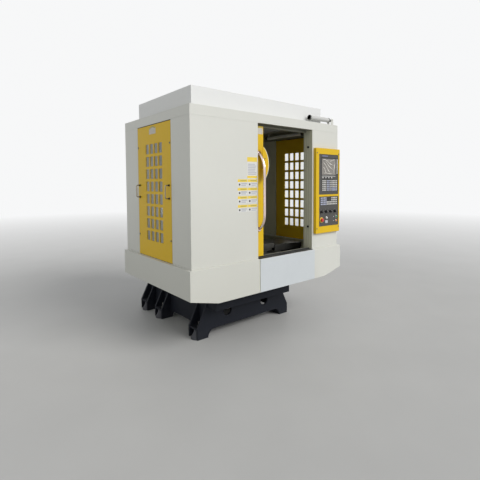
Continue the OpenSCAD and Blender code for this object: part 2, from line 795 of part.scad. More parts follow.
// Chip pan: a trough whose floor slopes up to both sides, standing on the bed's flange
module pan_outline()
  polygon([
    [-pan_left, rim_z], [-pan_left, pan_edge_z], [-pan_left + pan_slope_w, bed_flange_z],
    [pan_right - pan_slope_w + 5, bed_flange_z], [pan_right, pan_edge_z], [pan_right, rim_z]
  ]);

module pan_inside()
  polygon([
    [-pan_left + pan_t, rim_z + 1], [-pan_left + pan_t, pan_edge_z + pan_t],
    [-pan_left + pan_slope_w, bed_flange_z + pan_t],
    [pan_right - pan_slope_w + 5, bed_flange_z + pan_t], [pan_right - pan_t, pan_edge_z + pan_t],
    [pan_right - pan_t, rim_z + 1]
  ]);

rim_in = 34;
rim_in_front = 66;
collar_z = [bed_flange_z, bed_flange_z + 70];
module chip_pan() color(panel_white)
  difference() {
    union() {
      difference() {
        slab_y(-pan_front, pan_front + pan_back) pan_outline();
        slab_y(-pan_front + pan_t, pan_front + pan_back - 2 * pan_t) pan_inside();
      }
      difference() {
        pan_rim();
        block([-cab_left + rim_in, cab_right - rim_in], [-cab_front + rim_in_front, cab_back - rim_in],
          [rim_z - 20, cab_z + 1]);
      }
      block([-upper_half_w - 8, upper_half_w + 8], [-upper_front - 8, -upper_front - 2], collar_z);
      both_sides() block([upper_half_w + 2, upper_half_w + 6], [-upper_front - 8, col_front - 4], collar_z);
      both_sides() block([col_base_half_w + 2, col_base_half_w + 6], [col_front - 8, pan_back], collar_z);
    }
    block([-upper_half_w - 2, upper_half_w + 2], [-upper_front - 2, pan_back + 1],
      [bed_flange_z - 1, bed_flange_z + 60]);
    block([sill_x0 - 8, sill_x0], [-pan_front - 1, -pan_front + 2.5], [bed_flange_z + 6, rim_z - 6]);
    block([-col_base_half_w - 2, col_base_half_w + 2], [col_front - 4, pan_back + 1],
      [bed_flange_z - 1, cab_z + 1]);
  }

module pan_rim()
  difference() {
    block([-pan_left, pan_right], [-pan_front, pan_back], [rim_z - pan_t, cab_z]);
    for (s = [0, 1]) translate([s > 0 ? pan_right : -pan_left, 0, rim_z]) mirror([s, 0, 0])
      rotate([0, -atan2(cab_z - rim_z, pan_out), 0])
        block([-40, 60], [-pan_front - 5, pan_back + 5], [0, 40]);
    translate([0, -pan_front, rim_z]) rotate([atan2(cab_z - rim_z, pan_out_front), 0, 0])
      block([-pan_left - 5, pan_right + 5], [-40, 40], [0, 40]);
    translate([0, pan_back, rim_z]) rotate([-atan2(cab_z - rim_z, pan_back - cab_back), 0, 0])
      block([-pan_left - 5, pan_right + 5], [-40, 40], [0, 40]);
  }

sill_x0 = -129;
module front_sill_panel() color("#ccd1d6")
  block([sill_x0, ctl_left - 1], [-pan_front - 3, -pan_front], [bed_flange_z + 1, rim_z - 1]);

// Corner sheet: front skin, side skin and the lip that the access panel screws to
module front_left_panel() color(panel_white) {
  block([-cab_left, -open_left], [-cab_front, -cab_front + sheet], [cab_z, seam_z]);
  block([-open_left - sheet, -open_left], [-cab_front, -cab_front + 22], [cab_z, seam_z]);
  block([-cab_left, -cab_left + sheet], [-cab_front, -side_front], [cab_z, seam_z]);
  block([-cab_left, -cab_left + lip_in + sheet], [-side_front - sheet, -side_front], [cab_z, seam_z]);
  block([-cab_left + lip_in, -cab_left + lip_in + sheet], [-side_front - sheet, -side_front + lip],
    [cab_z, seam_z]);
}

module right_front_panel() color(panel_white)
  difference() {
    union() {
      difference() {
        block([open_right, cab_right], [-cab_front, -cab_front + jamb_d], [cab_z, seam_z]);
        block([open_right + sheet, cab_right - sheet], [-cab_front + sheet, -cab_front + jamb_d - sheet],
          [cab_z - 1, seam_z + 1]);
      }
      block([cab_right - sheet, cab_right], [-cab_front + jamb_d - 1, -side_front], [cab_z, seam_z]);
      block([cab_right - lip_in - sheet, cab_right], [-side_front - sheet, -side_front], [cab_z, seam_z]);
      block([cab_right - lip_in - sheet, cab_right - lip_in], [-side_front - sheet, -side_front + lip],
        [cab_z, seam_z]);
      for (y = [30, 62, 94])
        block([open_right - 2, open_right + 1], [-cab_front + y, -cab_front + y + 8], [cab_z, seam_z - 8]);
    }
    block([ctl_left + 6, cab_right - 10], [-cab_front - 1, -cab_front + sheet + 1],
      [ctl_z + 6, ctl_z + ctl_h - 6]);
  }

// Rear corner sheet on side s: side strip with its lip, and a back wall cut round the column
back_gap = 6;
module rear_corner(side_x, s) {
  slab_y(cab_back - sheet, sheet) difference() {
    span([min(side_x, -s * (col_half_w + back_gap)), max(side_x, -s * (col_half_w + back_gap))],
      [cab_z, seam_z]);
    column_gap();
    if (s < 0) span([-col_half_w - back_gap, col_half_w + back_gap + 1], [cab_z - 1, seam_z + 1]);
  }
  translate([side_x, 0, 0]) mirror([s > 0 ? 1 : 0, 0, 0]) {
    block([0, sheet], [side_back, cab_back], [cab_z, seam_z]);
    block([0, lip_in + sheet], [side_back, side_back + sheet], [cab_z, seam_z]);
    block([lip_in, lip_in + sheet], [side_back - lip, side_back + sheet], [cab_z, seam_z]);
  }
}

// Outline of the column through the back wall, with a gap all round
module column_gap()
  polygon([
    [-col_base_half_w - back_gap, cab_z - 1], [col_base_half_w + back_gap, cab_z - 1],
    [col_base_half_w + back_gap, col_base_top - 58], [col_half_w + 30 + back_gap, col_base_top + 92],
    [col_half_w + back_gap, col_base_top + 92], [col_half_w + back_gap, col_top + back_gap],
    [-col_half_w - back_gap, col_top + back_gap], [-col_half_w - back_gap, col_base_top + 92],
    [-col_half_w - 30 - back_gap, col_base_top + 92], [-col_base_half_w - back_gap, col_base_top - 58]
  ]);

module left_rear_panel() color(panel_white) rear_corner(-cab_left, -1);
module right_rear_panel() color(panel_white) rear_corner(cab_right, 1);

hood_x = [-792, 870];
hood_y = [-840, 165];
hood_lip = 25;
lamp_x0 = 633;
lamp_x1 = 964;
lamp_y = -880;
lamp_r = 24;

module roof_cover() color(panel_white) {
  difference() {
    block([-cab_left, cab_right], [-cab_front, cab_back], [seam_z, roof_z]);
    block([-cab_left + sheet, cab_right - sheet], [-cab_front + sheet, cab_back - sheet],
      [seam_z - 1, roof_z - sheet]);
    block([hood_x[0] + hood_lip, hood_x[1] - hood_lip], [hood_y[0] + hood_lip, hood_y[1] - hood_lip],
      [roof_z - sheet - 1, roof_z + 1]);
  }
  block([-cab_left + sheet, cab_right - sheet], [-cab_front + sheet, -cab_front + 26],
    [seam_z, seam_z + sheet]);
  lamp_foot();
}

// Upright ears that the folding lamp turns between
ear_z = roof_z + 54;
module lamp_foot()
  difference() {
    union() {
      block([lamp_x1 + 6, lamp_x1 + 50], [lamp_y - 34, lamp_y + 34], [roof_z, roof_z + 4]);
      for (s = [-1, 1]) slab_y(lamp_y + s * 24 - 3, 6) {
        span([lamp_x1 + 10, lamp_x1 + 46], [roof_z + 3, ear_z]);
        translate([lamp_x1 + 28, ear_z]) circle(18);
      }
    }
    rod_y(lamp_x1 + 28, lamp_y - 40, lamp_y + 40, ear_z, 5 + run_gap, $fn = 48);
  }

module signal_lamp() {
  color("#dcdcd8") {
    rod_x(lamp_x0 + 13, lamp_x1 - 8, lamp_y, ear_z, lamp_r);
    rod_y(lamp_x1 + 28, lamp_y - 30, lamp_y + 30, ear_z, 5, $fn = 48);
    rod_y(lamp_x1 + 28, lamp_y - 19, lamp_y + 19, ear_z, 14);
    rod_x(lamp_x1 - 9, lamp_x1 + 18, lamp_y, ear_z, 12);
  }
  color(black) for (x = [lamp_x0, lamp_x1 - 22]) rod_x(x, x + 14, lamp_y, ear_z, lamp_r + 2);
}

module roof_hood() color(panel_white)
  difference() {
    block(hood_x, hood_y, [roof_z, roof_z + hood_h]);
    block([hood_x[0] + sheet, hood_x[1] - sheet], [hood_y[0] + sheet, hood_y[1] - sheet],
      [roof_z - 1, roof_z + hood_h - sheet]);
  }

// Yellow access panel: skin with returns and a grid of windows, glazing retained by an inner frame
panel_y0 = -side_front + edge_gap;
panel_y1 = side_back - edge_gap;
panel_z0 = cab_z + edge_gap;
panel_z1 = seam_z - 7;
grid_y0 = -458;
grid_z0 = 926;
grid_w = (win_cols - 1) * win_dy + win_w;
grid_h = (win_rows - 1) * win_dz + win_h;
glaze_t = 4;

module windows()
  for (i = [0 : win_cols - 1], j = [0 : win_rows - 1])
    rounded([grid_y0 + i * win_dy, grid_y0 + i * win_dy + win_w],
      [grid_z0 + j * win_dz, grid_z0 + j * win_dz + win_h], 4);

module access_panel() {
  difference() {
    slab_x(0, lip_in) span([panel_y0, panel_y1], [panel_z0, panel_z1]);
    slab_x(sheet, lip_in) span([panel_y0 + sheet, panel_y1 - sheet], [panel_z0 + sheet, panel_z1 - sheet]);
    slab_x(-1, sheet + 2) windows();
  }
  // inner frame, seated on the glazing
  slab_x(sheet + glaze_t, 8) difference() {
    rounded([grid_y0 - 40, grid_y0 + grid_w + 40], [grid_z0 - 40, grid_z0 + grid_h + 40], 8);
    windows();
  }
}

module access_panel_left() color(panel_yellow) translate([-cab_left, 0, 0]) access_panel();
module access_panel_right() color(panel_yellow)
  translate([cab_right, 0, 0]) mirror([1, 0, 0]) access_panel();

module glazing() color("#b8c4c8") {
  for (x = [-cab_left + sheet, cab_right - sheet - glaze_t])
    slab_x(x, glaze_t)
      span([grid_y0 - 36, grid_y0 + grid_w + 36], [grid_z0 - 36, grid_z0 + grid_h + 36]);
}

handle_z0 = 1336;
handle_z1 = 1451;
bow_out = 40;
bow_r = 5;
// A D-shaped bow on two feet, standing out along -X from the skin
module bow(y) {
  r = 12;
  for (z = [handle_z0, handle_z1]) {
    color(black) translate([0, y, z]) rotate([0, -90, 0]) cylinder(r = 9, h = 6);
    color(steel) translate([-6, y, z]) rotate([0, -90, 0]) cylinder(r = bow_r, h = bow_out - r - 6);
  }
  color(steel) translate([-bow_out, y, handle_z0 + r]) cylinder(r = bow_r, h = handle_z1 - handle_z0 - 2 * r);
  color(steel) translate([-bow_out + r, y, handle_z0 + r]) rotate([90, 0, 0]) rotate([0, 0, 180])
    rotate_extrude(angle = 90) translate([r, 0]) circle(bow_r);
  color(steel) translate([-bow_out + r, y, handle_z1 - r]) rotate([90, 0, 0]) rotate([0, 0, 90])
    rotate_extrude(angle = 90) translate([r, 0]) circle(bow_r);
}

module panel_handles() {
  for (y = [-585, 5]) {
    translate([-cab_left, 0, 0]) bow(y);
    translate([cab_right, 0, 0]) mirror([1, 0, 0]) bow(y);
  }
}

// Sliding door: a hollow leaf with a window, carried on two carriages under the rail
leaf_win = [[leaf_x0 + 130, leaf_x0 + leaf_w - 190], [1120, 1760]];
glass_t = 8;

module door_leaf() {
  color(panel_yellow) difference() {
    block([leaf_x0, leaf_x0 + leaf_w], [leaf_y0, leaf_y0 + leaf_t], [leaf_z0, leaf_z1]);
    block([leaf_x0 + sheet, leaf_x0 + leaf_w - sheet], [leaf_y0 + sheet, leaf_y0 + leaf_t + 1],
      [leaf_z0 + sheet, leaf_z1 - sheet]);
    slab_y(leaf_y0 - 1, sheet + 2) rounded(leaf_win[0], leaf_win[1], 20);
  }
  color(panel_yellow) slab_y(leaf_y0 + sheet + glass_t, 6) difference() {
    rounded([leaf_win[0][0] - 34, leaf_win[0][1] + 34], [leaf_win[1][0] - 34, leaf_win[1][1] + 34], 24);
    rounded(leaf_win[0], leaf_win[1], 20);
  }
  color(steel) for (x = [leaf_x0 + 110, leaf_x0 + leaf_w - 110])
    translate([x, leaf_y0 + leaf_t, 0]) door_carriage();
}

door_rail_z = 2000;
door_rail_t = 10;
door_rail_half = 8;
jaw_t = 7.4;
door_gap = 22;

// Hanger under the leaf's top, with jaws above and below the rail
module door_carriage() {
  jaw = door_rail_half + fit;
  block([-50, 50], [-leaf_t + sheet, 6], [leaf_z1 - 52, leaf_z1 - 46]);
  block([-50, 50], [0, 6], [leaf_z1 - 92, door_rail_z + jaw + jaw_t]);
  block([-45, 45], [5, door_gap - door_rail_t - fit], [door_rail_z - jaw - jaw_t, door_rail_z + jaw + jaw_t]);
  for (z = [door_rail_z - jaw - jaw_t, door_rail_z + jaw])
    block([-45, 45], [5, door_gap - fit], [z, z + jaw_t]);
}

module door_window() color("#9fb0b4")
  slab_y(leaf_y0 + sheet, glass_t)
    rounded([leaf_win[0][0] - 30, leaf_win[0][1] + 30], [leaf_win[1][0] - 30, leaf_win[1][1] + 30], 20);

// Header over the door with the rail that the carriages run on, and the floor guide
header_y = leaf_y0 + leaf_t + door_gap;
header_h = 20;
module door_rail() {
  rail_x = [-cab_left + 20, open_right - 4];
  color("#6f7164") {
    block([-cab_left + sheet, open_right - 2], [header_y, header_y + 30], [seam_z - header_h, seam_z]);
    block([-cab_left + sheet, open_right - 2], [-cab_front + 26, header_y + 30], [seam_z, seam_z + sheet]);
  }
  color(steel) block(rail_x, [header_y - door_rail_t, header_y],
    [door_rail_z - door_rail_half, door_rail_z + door_rail_half]);
  color(dark_steel) block(rail_x, [leaf_y0 + 10, leaf_y0 + leaf_t - 10], [cab_z, leaf_z0 - fit]);
}

// Grip plate: a crescent standing in front of the leaf on two spacers
plate_x = -90;
plate_y0 = -cab_front - 14;
plate_t = 4;
plate_apex = -14;
plate_r = 228;
plate_z = [1484, 1798];
module door_grip_plate() color(panel_yellow) {
  slab_y(plate_y0, plate_t) intersection() {
    translate([plate_apex - plate_r, (plate_z[0] + plate_z[1]) / 2]) circle(plate_r, $fn = 96);
    span([plate_x, plate_apex + 1], plate_z);
  }
  for (z = [1590, 1692]) rod_y(plate_x + 24, plate_y0 + plate_t, leaf_y0, z, 9);
}

handle_x = -109;
handle_out = 85;
handle_y = leaf_y0 - handle_out;
handle_z = [1165, 1579];
handle_bend = [145, 210];
escutcheon_t = 16;
bend_depth = handle_out - escutcheon_t / 2;

function bend_angle(r) = acos(1 - bend_depth / r);

// End of the handle's tube turning back to the leaf, cut from a whole ring of radius r
module handle_end(r)
  intersection() {
    rotate_extrude() translate([r, 0]) circle(grip_r);
    translate([0, 0, -2 * grip_r]) linear_extrude(4 * grip_r)
      polygon([[0, 0], [2 * r, 0], [2 * r, 2 * r * tan(bend_angle(r))]]);
  }

module door_handle() color("#d8d0d0") {
  rod_z(handle_x, handle_y, handle_z[0], handle_z[1], grip_r);
  for (i = [0, 1]) translate([handle_x, handle_y + handle_bend[i], handle_z[i]]) mirror([0, 0, 1 - i])
    rotate([0, 0, -90]) rotate([90, 0, 0]) handle_end(handle_bend[i]);
  for (i = [0, 1]) {
    rise = handle_bend[i] * sin(bend_angle(handle_bend[i]));
    rod_y(handle_x, leaf_y0 - escutcheon_t, leaf_y0, handle_z[i] + (i > 0 ? rise : -rise), grip_r + 8);
  }
}

module door_bumpers() color(black)
  for (z = [1000, 1840]) {
    rod_x(open_right - 12, open_right - 2, leaf_y0 + leaf_t / 2, z, 11);
    rod_x(open_right - 3, open_right, leaf_y0 + leaf_t / 2, z, 8);
  }

// Control box: a yellow frame with two dark panels set in it
ctl_right = cab_right - 0.5;
ctl_front = -cab_front - ctl_out;
ctl_depth = 92;
nc_x = [700, 1036];
nc_z = [1338, 1769];
op_x = [704, 1041];
op_z = [997, 1317];
face_in = 4;

module control_box() color(panel_yellow)
  difference() {
    union() {
      slab_y(ctl_front, ctl_out) rounded([ctl_left, ctl_right], [ctl_z, ctl_z + ctl_h], 6);
      block([ctl_left + 8, ctl_right - 11], [-cab_front - 1, ctl_front + ctl_depth],
        [ctl_z + 8, ctl_z + ctl_h - 8]);
    }
    block([ctl_left + 12, ctl_right - 15], [ctl_front + 12, ctl_front + ctl_depth + 1],
      [ctl_z + 12, ctl_z + ctl_h - 12]);
    slab_y(ctl_front - 1, 20) span(nc_x, nc_z);
    slab_y(ctl_front - 1, 20) span(op_x, op_z);
  }

// Rows of membrane keys: x0, z0, columns, rows, pitch and size
module keys(x0, z0, cols, rows, dx, dz, w, h)
  for (i = [0 : cols - 1], j = [0 : rows - 1])
    block([x0 + i * dx, x0 + i * dx + w], [ctl_front + face_in - 2, ctl_front + face_in + 0.5],
      [z0 + j * dz, z0 + j * dz + h]);

nc_keys = [
  [756, 1512, 7, 1, 25, 20, 20, 14], [756, 1378, 3, 6, 24, 20, 19, 14],
  [836, 1378, 2, 6, 24, 20, 19, 14], [890, 1378, 1, 6, 24, 20, 14, 14],
  [912, 1378, 4, 6, 26, 20, 21, 14], [756, 1498, 8, 1, 26, 20, 20, 8]
];
op_keys = [[730, 1226, 11, 4, 26, 22, 21, 15]];
button_z = 1070;
knob_z = 1154;
knob_x = [742, 818, 894, 970];
estop_at = [746, 1066];
white_at = [832, 1086];
green_at = [1002, 1090];
orange_at = [1000, 1046];
button_hole_r = 11.4;

module panel_plate(x, z)
  block([x[0] + 0.5, x[1] - 0.5], [ctl_front + face_in, ctl_front + 12], [z[0] + 0.5, z[1] - 0.5]);

module control_panels() {
  color("#3a3c40") difference() {
    panel_plate(nc_x, nc_z);
    block([746, 994], [ctl_front, ctl_front + 10], [1546, 1741]);
  }
  color("#c8cacc") for (k = nc_keys) keys(k[0], k[1], k[2], k[3], k[4], k[5], k[6], k[7]);
  color("#3a3c40") difference() {
    panel_plate(op_x, op_z);
    for (p = [white_at, green_at, orange_at, estop_at])
      rod_y(p[0], ctl_front, ctl_front + 20, p[1], button_hole_r);
    for (x = knob_x) rod_y(x, ctl_front, ctl_front + 20, knob_z, 6 + run_gap);
  }
  color("#c8cacc") for (k = op_keys) keys(k[0], k[1], k[2], k[3], k[4], k[5], k[6], k[7]);
  color(panel_yellow) difference() {
    rod_y(estop_at[0], ctl_front + 1, ctl_front + face_in, estop_at[1], 29);
    rod_y(estop_at[0], ctl_front, ctl_front + 5, estop_at[1], button_hole_r);
  }
}

module screen() color("#2a2f36")
  block([748, 992], [ctl_front + 5, ctl_front + 9.8], [1548, 1739]);

// Push button: a cap in front of its stem, running in the plate's hole
module button(at, cap_r, cap_out, cap_t) {
  rod_y(at[0], ctl_front + face_in - cap_out, ctl_front + face_in - cap_out + cap_t, at[1], cap_r);
  rod_y(at[0], ctl_front + face_in - cap_out + cap_t - 1, ctl_front + 26, at[1], button_hole_r - 0.4);
}

module estop_button() color("#c81e1e") button(estop_at, 20, 20, 10);
module green_button() color("#1f8a4c") button(green_at, 10.9, 9, 9);
module orange_button() color("#f08c28") button(orange_at, 10.9, 9, 9);
module white_button() color("#f0f0ee") button(white_at, 10.9, 9, 9);

module selector(x) color(black) {
  rod_y(x, ctl_front - 10, ctl_front + face_in - fit, knob_z, 15);
  slab_y(ctl_front - 20, 11) rounded([x - 4, x + 4], [knob_z - 15, knob_z + 15], 3);
  rod_y(x, ctl_front, ctl_front + 26, knob_z, 6, $fn = 48);
}
module selector_1() selector(knob_x[0]);
module selector_2() selector(knob_x[1]);
module selector_3() selector(knob_x[2]);
module selector_4() selector(knob_x[3]);

// Tube lamp hung from the roof along the right wall
work_lamp_x = cab_right - 101;
work_lamp_y = [-510, 90];
work_lamp_z = seam_z + 30;
work_lamp_r = 20;
module work_lamp() {
  color("#e8e8e4") rod_y(work_lamp_x, work_lamp_y[0], work_lamp_y[1], work_lamp_z, work_lamp_r);
  color(black) for (y = [work_lamp_y[0] - 10, work_lamp_y[1] - 5])
    rod_y(work_lamp_x, y, y + 25, work_lamp_z, work_lamp_r + 3);
  color(dark_steel) for (y = [work_lamp_y[0] + 10, work_lamp_y[1] - 25])
    block([work_lamp_x - 10, work_lamp_x + 10], [y, y + 12], [work_lamp_z + work_lamp_r - 4, roof_z - sheet]);
}

// Electrical cabinet behind the column, its door hinged on the left seen from the back
ec_x = [-330, 560];
ec_gap = 10;
ec_y = [bed_back + ec_gap, bed_back + ec_gap + 320];
ec_z = [700, 1860];
door_t = 20;
hinge_x = ec_x[0] + 6;
hinge_y = ec_y[1] + 12;

module electrical_cabinet() {
  color(panel_white) difference() {
    block(ec_x, ec_y, ec_z);
    block([ec_x[0] + 3, ec_x[1] - 3], [ec_y[0] + 3, ec_y[1] + 1], [ec_z[0] + 3, ec_z[1] - 3]);
  }
  color(panel_white) for (z = [840, 1600]) for (s = [-1, 1])
    block([s * 150 - 30, s * 150 + 30], [z > 1000 ? col_back : bed_back, ec_y[0]], [z, z + 60]);
  color("#b8bcc0") {
    block([ec_x[0] + 30, ec_x[1] - 30], [ec_y[0] + 3, ec_y[0] + 6], [ec_z[0] + 40, ec_z[1] - 40]);
    for (i = [0 : 3])
      block([ec_x[0] + 90 + i * 90, ec_x[0] + 160 + i * 90], [ec_y[0] + 6, ec_y[0] + 200], [1380, 1740]);
    block([ec_x[0] + 480, ec_x[0] + 640], [ec_y[0] + 6, ec_y[0] + 160], [1400, 1700]);
    for (z = [1280, 1120, 960])
      block([ec_x[0] + 80, ec_x[1] - 120], [ec_y[0] + 6, ec_y[0] + 90], [z - 40, z + 40]);
  }
  color(steel) for (z = [820, 1740]) {
    rod_z(hinge_x, hinge_y, z - 40, z + 42, 4, $fn = 32);
    block([ec_x[0], hinge_x + 6], [ec_y[1] - 8, ec_y[1] + 1], [z - 40, z - 2]);
    rod_z(hinge_x, hinge_y, z - 40, z - 2, 8, $fn = 32);
    block([hinge_x - 6, hinge_x + 6], [ec_y[1] - 1, hinge_y], [z - 40, z - 2]);
  }
}

switch_at = [ec_x[1] - 120, 1500];
module electrical_door() {
  color(panel_white) difference() {
    block([ec_x[0] + 16, ec_x[1]], [ec_y[1] + 1, ec_y[1] + 1 + door_t], [ec_z[0], ec_z[1]]);
    block([ec_x[0] + 18, ec_x[1] - 2], [ec_y[1], ec_y[1] - 1 + door_t], [ec_z[0] + 2, ec_z[1] - 2]);
    rod_y(switch_at[0], ec_y[1], ec_y[1] + 30, switch_at[1], 7 + run_gap);
    for (i = [0 : 9]) slab_y(ec_y[1], 30) rounded([-60, 300], [800 + i * 18, 808 + i * 18], 3.9);
  }
  color(steel) for (z = [820, 1740]) difference() {
    union() {
      rod_z(hinge_x, hinge_y, z, z + 40, 8, $fn = 32);
      block([hinge_x, hinge_x + 12], [hinge_y, hinge_y + 6], [z, z + 40]);
    }
    rod_z(hinge_x, hinge_y, z - 1, z + 41, 4 + run_gap, $fn = 32);
  }
}

module main_switch() color("#c81e1e") {
  rod_y(switch_at[0], ec_y[1] + 2 + door_t - 1 + fit, ec_y[1] + door_t + 12, switch_at[1], 30);
  slab_y(ec_y[1] + door_t + 11, 16)
    rounded([switch_at[0] - 7, switch_at[0] + 7], [switch_at[1] - 28, switch_at[1] + 28], 6);
  rod_y(switch_at[0], ec_y[1] - 4, ec_y[1] + door_t + 5, switch_at[1], 7, $fn = 48);
}

module lubrication_unit() {
  y = [cab_back + 10, col_back - 8];
  color("#d8dad4") slab_z(1000, 190) rounded([-330, -218], y, 12);
  color(motor_grey) slab_z(1190, 60) rounded([-322, -226], [y[0] + 8, y[1] - 8], 8);
  color(dark_steel) rod_z(-274, (y[0] + y[1]) / 2, 1250, 1310, 28);
  color(steel) block([-218, -col_half_w], [y[0] + 12, y[1] - 2], [1040, 1240]);
}

bed_casting();
column_casting();
fixed_rails();
x_rails();
y_screw();
z_screw();
x_screw();
axis_motors();
x_motor();
saddle();
table();
spindle_head();
spindle_motor();
spindle_housing();
spindle();
x_cover_inner();
x_cover_second();
x_cover_third();
saddle_covers();
y_cover_second();
fixed_way_covers();
magazine_bracket();
magazine_carriage();
magazine_disc();
tool_holders();
chip_pan();
front_sill_panel();
front_left_panel();
right_front_panel();
left_rear_panel();
right_rear_panel();
roof_cover();
roof_hood();
access_panel_left();
access_panel_right();
glazing();
panel_handles();
door_leaf();
door_window();
door_grip_plate();
door_handle();
door_rail();
door_bumpers();
control_box();
control_panels();
screen();
estop_button();
green_button();
orange_button();
white_button();
selector_1();
selector_2();
selector_3();
selector_4();
work_lamp();
signal_lamp();
electrical_cabinet();
electrical_door();
main_switch();
lubrication_unit();
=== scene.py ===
"""Looks of a small vertical machining centre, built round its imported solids.

Lengths are in metres in the frame of the solids: the origin is on the floor, midway between the bed's four
corner levelling holes, +X to the right, +Y to the back and +Z up. The pieces are drawn in millimetres, and
scaled when they are made.
"""

import json
import logging
import math
from dataclasses import dataclass, field, replace
from enum import Enum
from functools import cache
from typing import Iterator, Sequence

import bmesh
import bpy
from mathutils import Matrix, Vector


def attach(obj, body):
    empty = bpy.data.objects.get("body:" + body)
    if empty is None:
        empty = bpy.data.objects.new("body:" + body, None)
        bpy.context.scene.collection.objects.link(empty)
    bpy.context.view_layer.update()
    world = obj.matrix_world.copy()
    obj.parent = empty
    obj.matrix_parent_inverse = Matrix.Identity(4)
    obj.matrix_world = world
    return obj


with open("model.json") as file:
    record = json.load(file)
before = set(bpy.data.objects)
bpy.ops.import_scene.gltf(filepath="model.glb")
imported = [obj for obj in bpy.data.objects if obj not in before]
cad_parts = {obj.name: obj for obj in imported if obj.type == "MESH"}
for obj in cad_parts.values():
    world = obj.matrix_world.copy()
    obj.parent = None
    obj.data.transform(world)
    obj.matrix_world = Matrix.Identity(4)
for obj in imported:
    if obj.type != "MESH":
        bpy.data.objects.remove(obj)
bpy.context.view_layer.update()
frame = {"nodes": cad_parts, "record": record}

log = logging.getLogger("machining_centre")

Colour = tuple[float, float, float]
Point = tuple[float, float, float]
Pair = tuple[float, float]
Socket = bpy.types.NodeSocket
Tree = bpy.types.NodeTree
Node = bpy.types.Node
Outputs = bpy.types.NodeOutputs
Object = bpy.types.Object
BMesh = bmesh.types.BMesh
MM = 0.001
LEFT_RIGHT = (-1, 1)


def rgba(colour: Colour) -> tuple[float, ...]:
    """A colour with full cover."""
    return (*colour, 1.0)


def circle(steps: int) -> Iterator[float]:
    """Angles of equal steps round a full turn."""
    return (2 * math.pi * i / steps for i in range(steps))


# ---------------------------------------------------------------- node helpers


@dataclass
class Nodes:
    """Short calls that add nodes to one tree."""

    tree: Tree

    def add(self, kind: str, inputs: dict | None = None, **settings) -> Node:
        """Adds a node.

        Args:
            kind: The node's Blender type.
            inputs: A value or an output socket for each named or numbered input.
            settings: Properties of the node itself.

        Returns:
            The new node.
        """
        made = self.tree.nodes.new(kind)
        for key, value in settings.items():
            setattr(made, key, value)
        self.feed(made, inputs or {})
        return made

    def feed(self, node: Node, inputs: dict) -> None:
        """Sets or links the named or numbered inputs of a node."""
        for key, value in inputs.items():
            if isinstance(value, Socket):
                self.tree.links.new(value, node.inputs[key])
            else:
                node.inputs[key].default_value = value

    def calc(self, operation: str, *values, clamp: bool = False) -> Socket:
        """Adds a Math node and returns its output."""
        return self.add("ShaderNodeMath", dict(enumerate(values)), operation=operation, use_clamp=clamp).outputs[0]

    def times(self, *factors, clamp: bool = False) -> Socket:
        """Product of two or more values; only the last product is clamped."""
        product = factors[0]
        for left, factor in zip(range(len(factors) - 2, -1, -1), factors[1:]):
            product = self.calc("MULTIPLY", product, factor, clamp=clamp and not left)
        return product

    def vector(self, operation: str, *values, output: int | str = 0) -> Socket:
        """Adds a Vector Math node and returns one of its outputs."""
        return self.add("ShaderNodeVectorMath", dict(enumerate(values)), operation=operation).outputs[output]

    def scaled(self, vector, scale) -> Socket:
        """A vector or colour times a number."""
        return self.add("ShaderNodeVectorMath", {0: vector, "Scale": scale}, operation="SCALE").outputs[0]

    def split(self, vector: Socket) -> Outputs:
        """The three numbers of a vector."""
        return self.add("ShaderNodeSeparateXYZ", {0: vector}).outputs

    def combined(self, inputs: dict) -> Socket:
        """A vector from its numbers."""
        return self.add("ShaderNodeCombineXYZ", inputs).outputs[0]

    def place(self) -> Socket:
        """The place of the shaded point in the object's own frame."""
        return self.add("ShaderNodeTexCoord").outputs["Object"]

    def normal(self) -> Socket:
        """The normal of the shaded point."""
        return self.add("ShaderNodeNewGeometry").outputs["Normal"]

    def noise(self, vector: Socket, scale, detail: float = 3.0) -> Socket:
        """Adds a Noise Texture and returns its value."""
        return self.add("ShaderNodeTexNoise", {"Vector": vector, "Scale": scale, "Detail": detail}).outputs[0]

    def ramp(self, value: Socket, low, high, to_low=0.0, to_high=1.0) -> Socket:
        """Maps a value from one range to another, clamped."""
        return self.add("ShaderNodeMapRange", {0: value, 1: low, 2: high, 3: to_low, 4: to_high}).outputs[0]

    def mix(self, factor, first, second) -> Socket:
        """Mixes two colours."""
        return self.add("ShaderNodeMix", {0: factor, 6: first, 7: second}, data_type="RGBA").outputs[2]

    def mix_shader(self, factor, first: Node, second: Node) -> Socket:
        """Mixes two shaders."""
        return self.add("ShaderNodeMixShader", {0: factor, 1: first.outputs[0], 2: second.outputs[0]}).outputs[0]

    def group(self, group: Tree, **inputs) -> Outputs:
        """Places a shader node group with its own values; a low line in a name stands for a space."""
        named = {key.replace("_", " "): value for key, value in inputs.items()}
        return self.add("ShaderNodeGroup", named, node_tree=group).outputs

    def seen_directly(self) -> Socket:
        """1 for rays from the camera, mirrors and glass, 0 for light on a surface."""
        path = self.add("ShaderNodeLightPath").outputs
        first = self.calc("MAXIMUM", path["Is Camera Ray"], path["Is Glossy Ray"])
        return self.calc("MAXIMUM", first, path["Is Transmission Ray"])


# ---------------------------------------------------------------- shared effects


OUTPUT_KINDS = {"Colour": "NodeSocketColor", "Normal": "NodeSocketVector"}
CABIN_INSIDE = ((-0.8635, -0.9292, 0.7655), (1.0565, 0.3572, 2.0985))
PAN_INSIDE = ((-0.8855, -0.9455, 0.44), (1.0975, 0.3835, 0.7555))
LEAST_UPWARD = -0.05


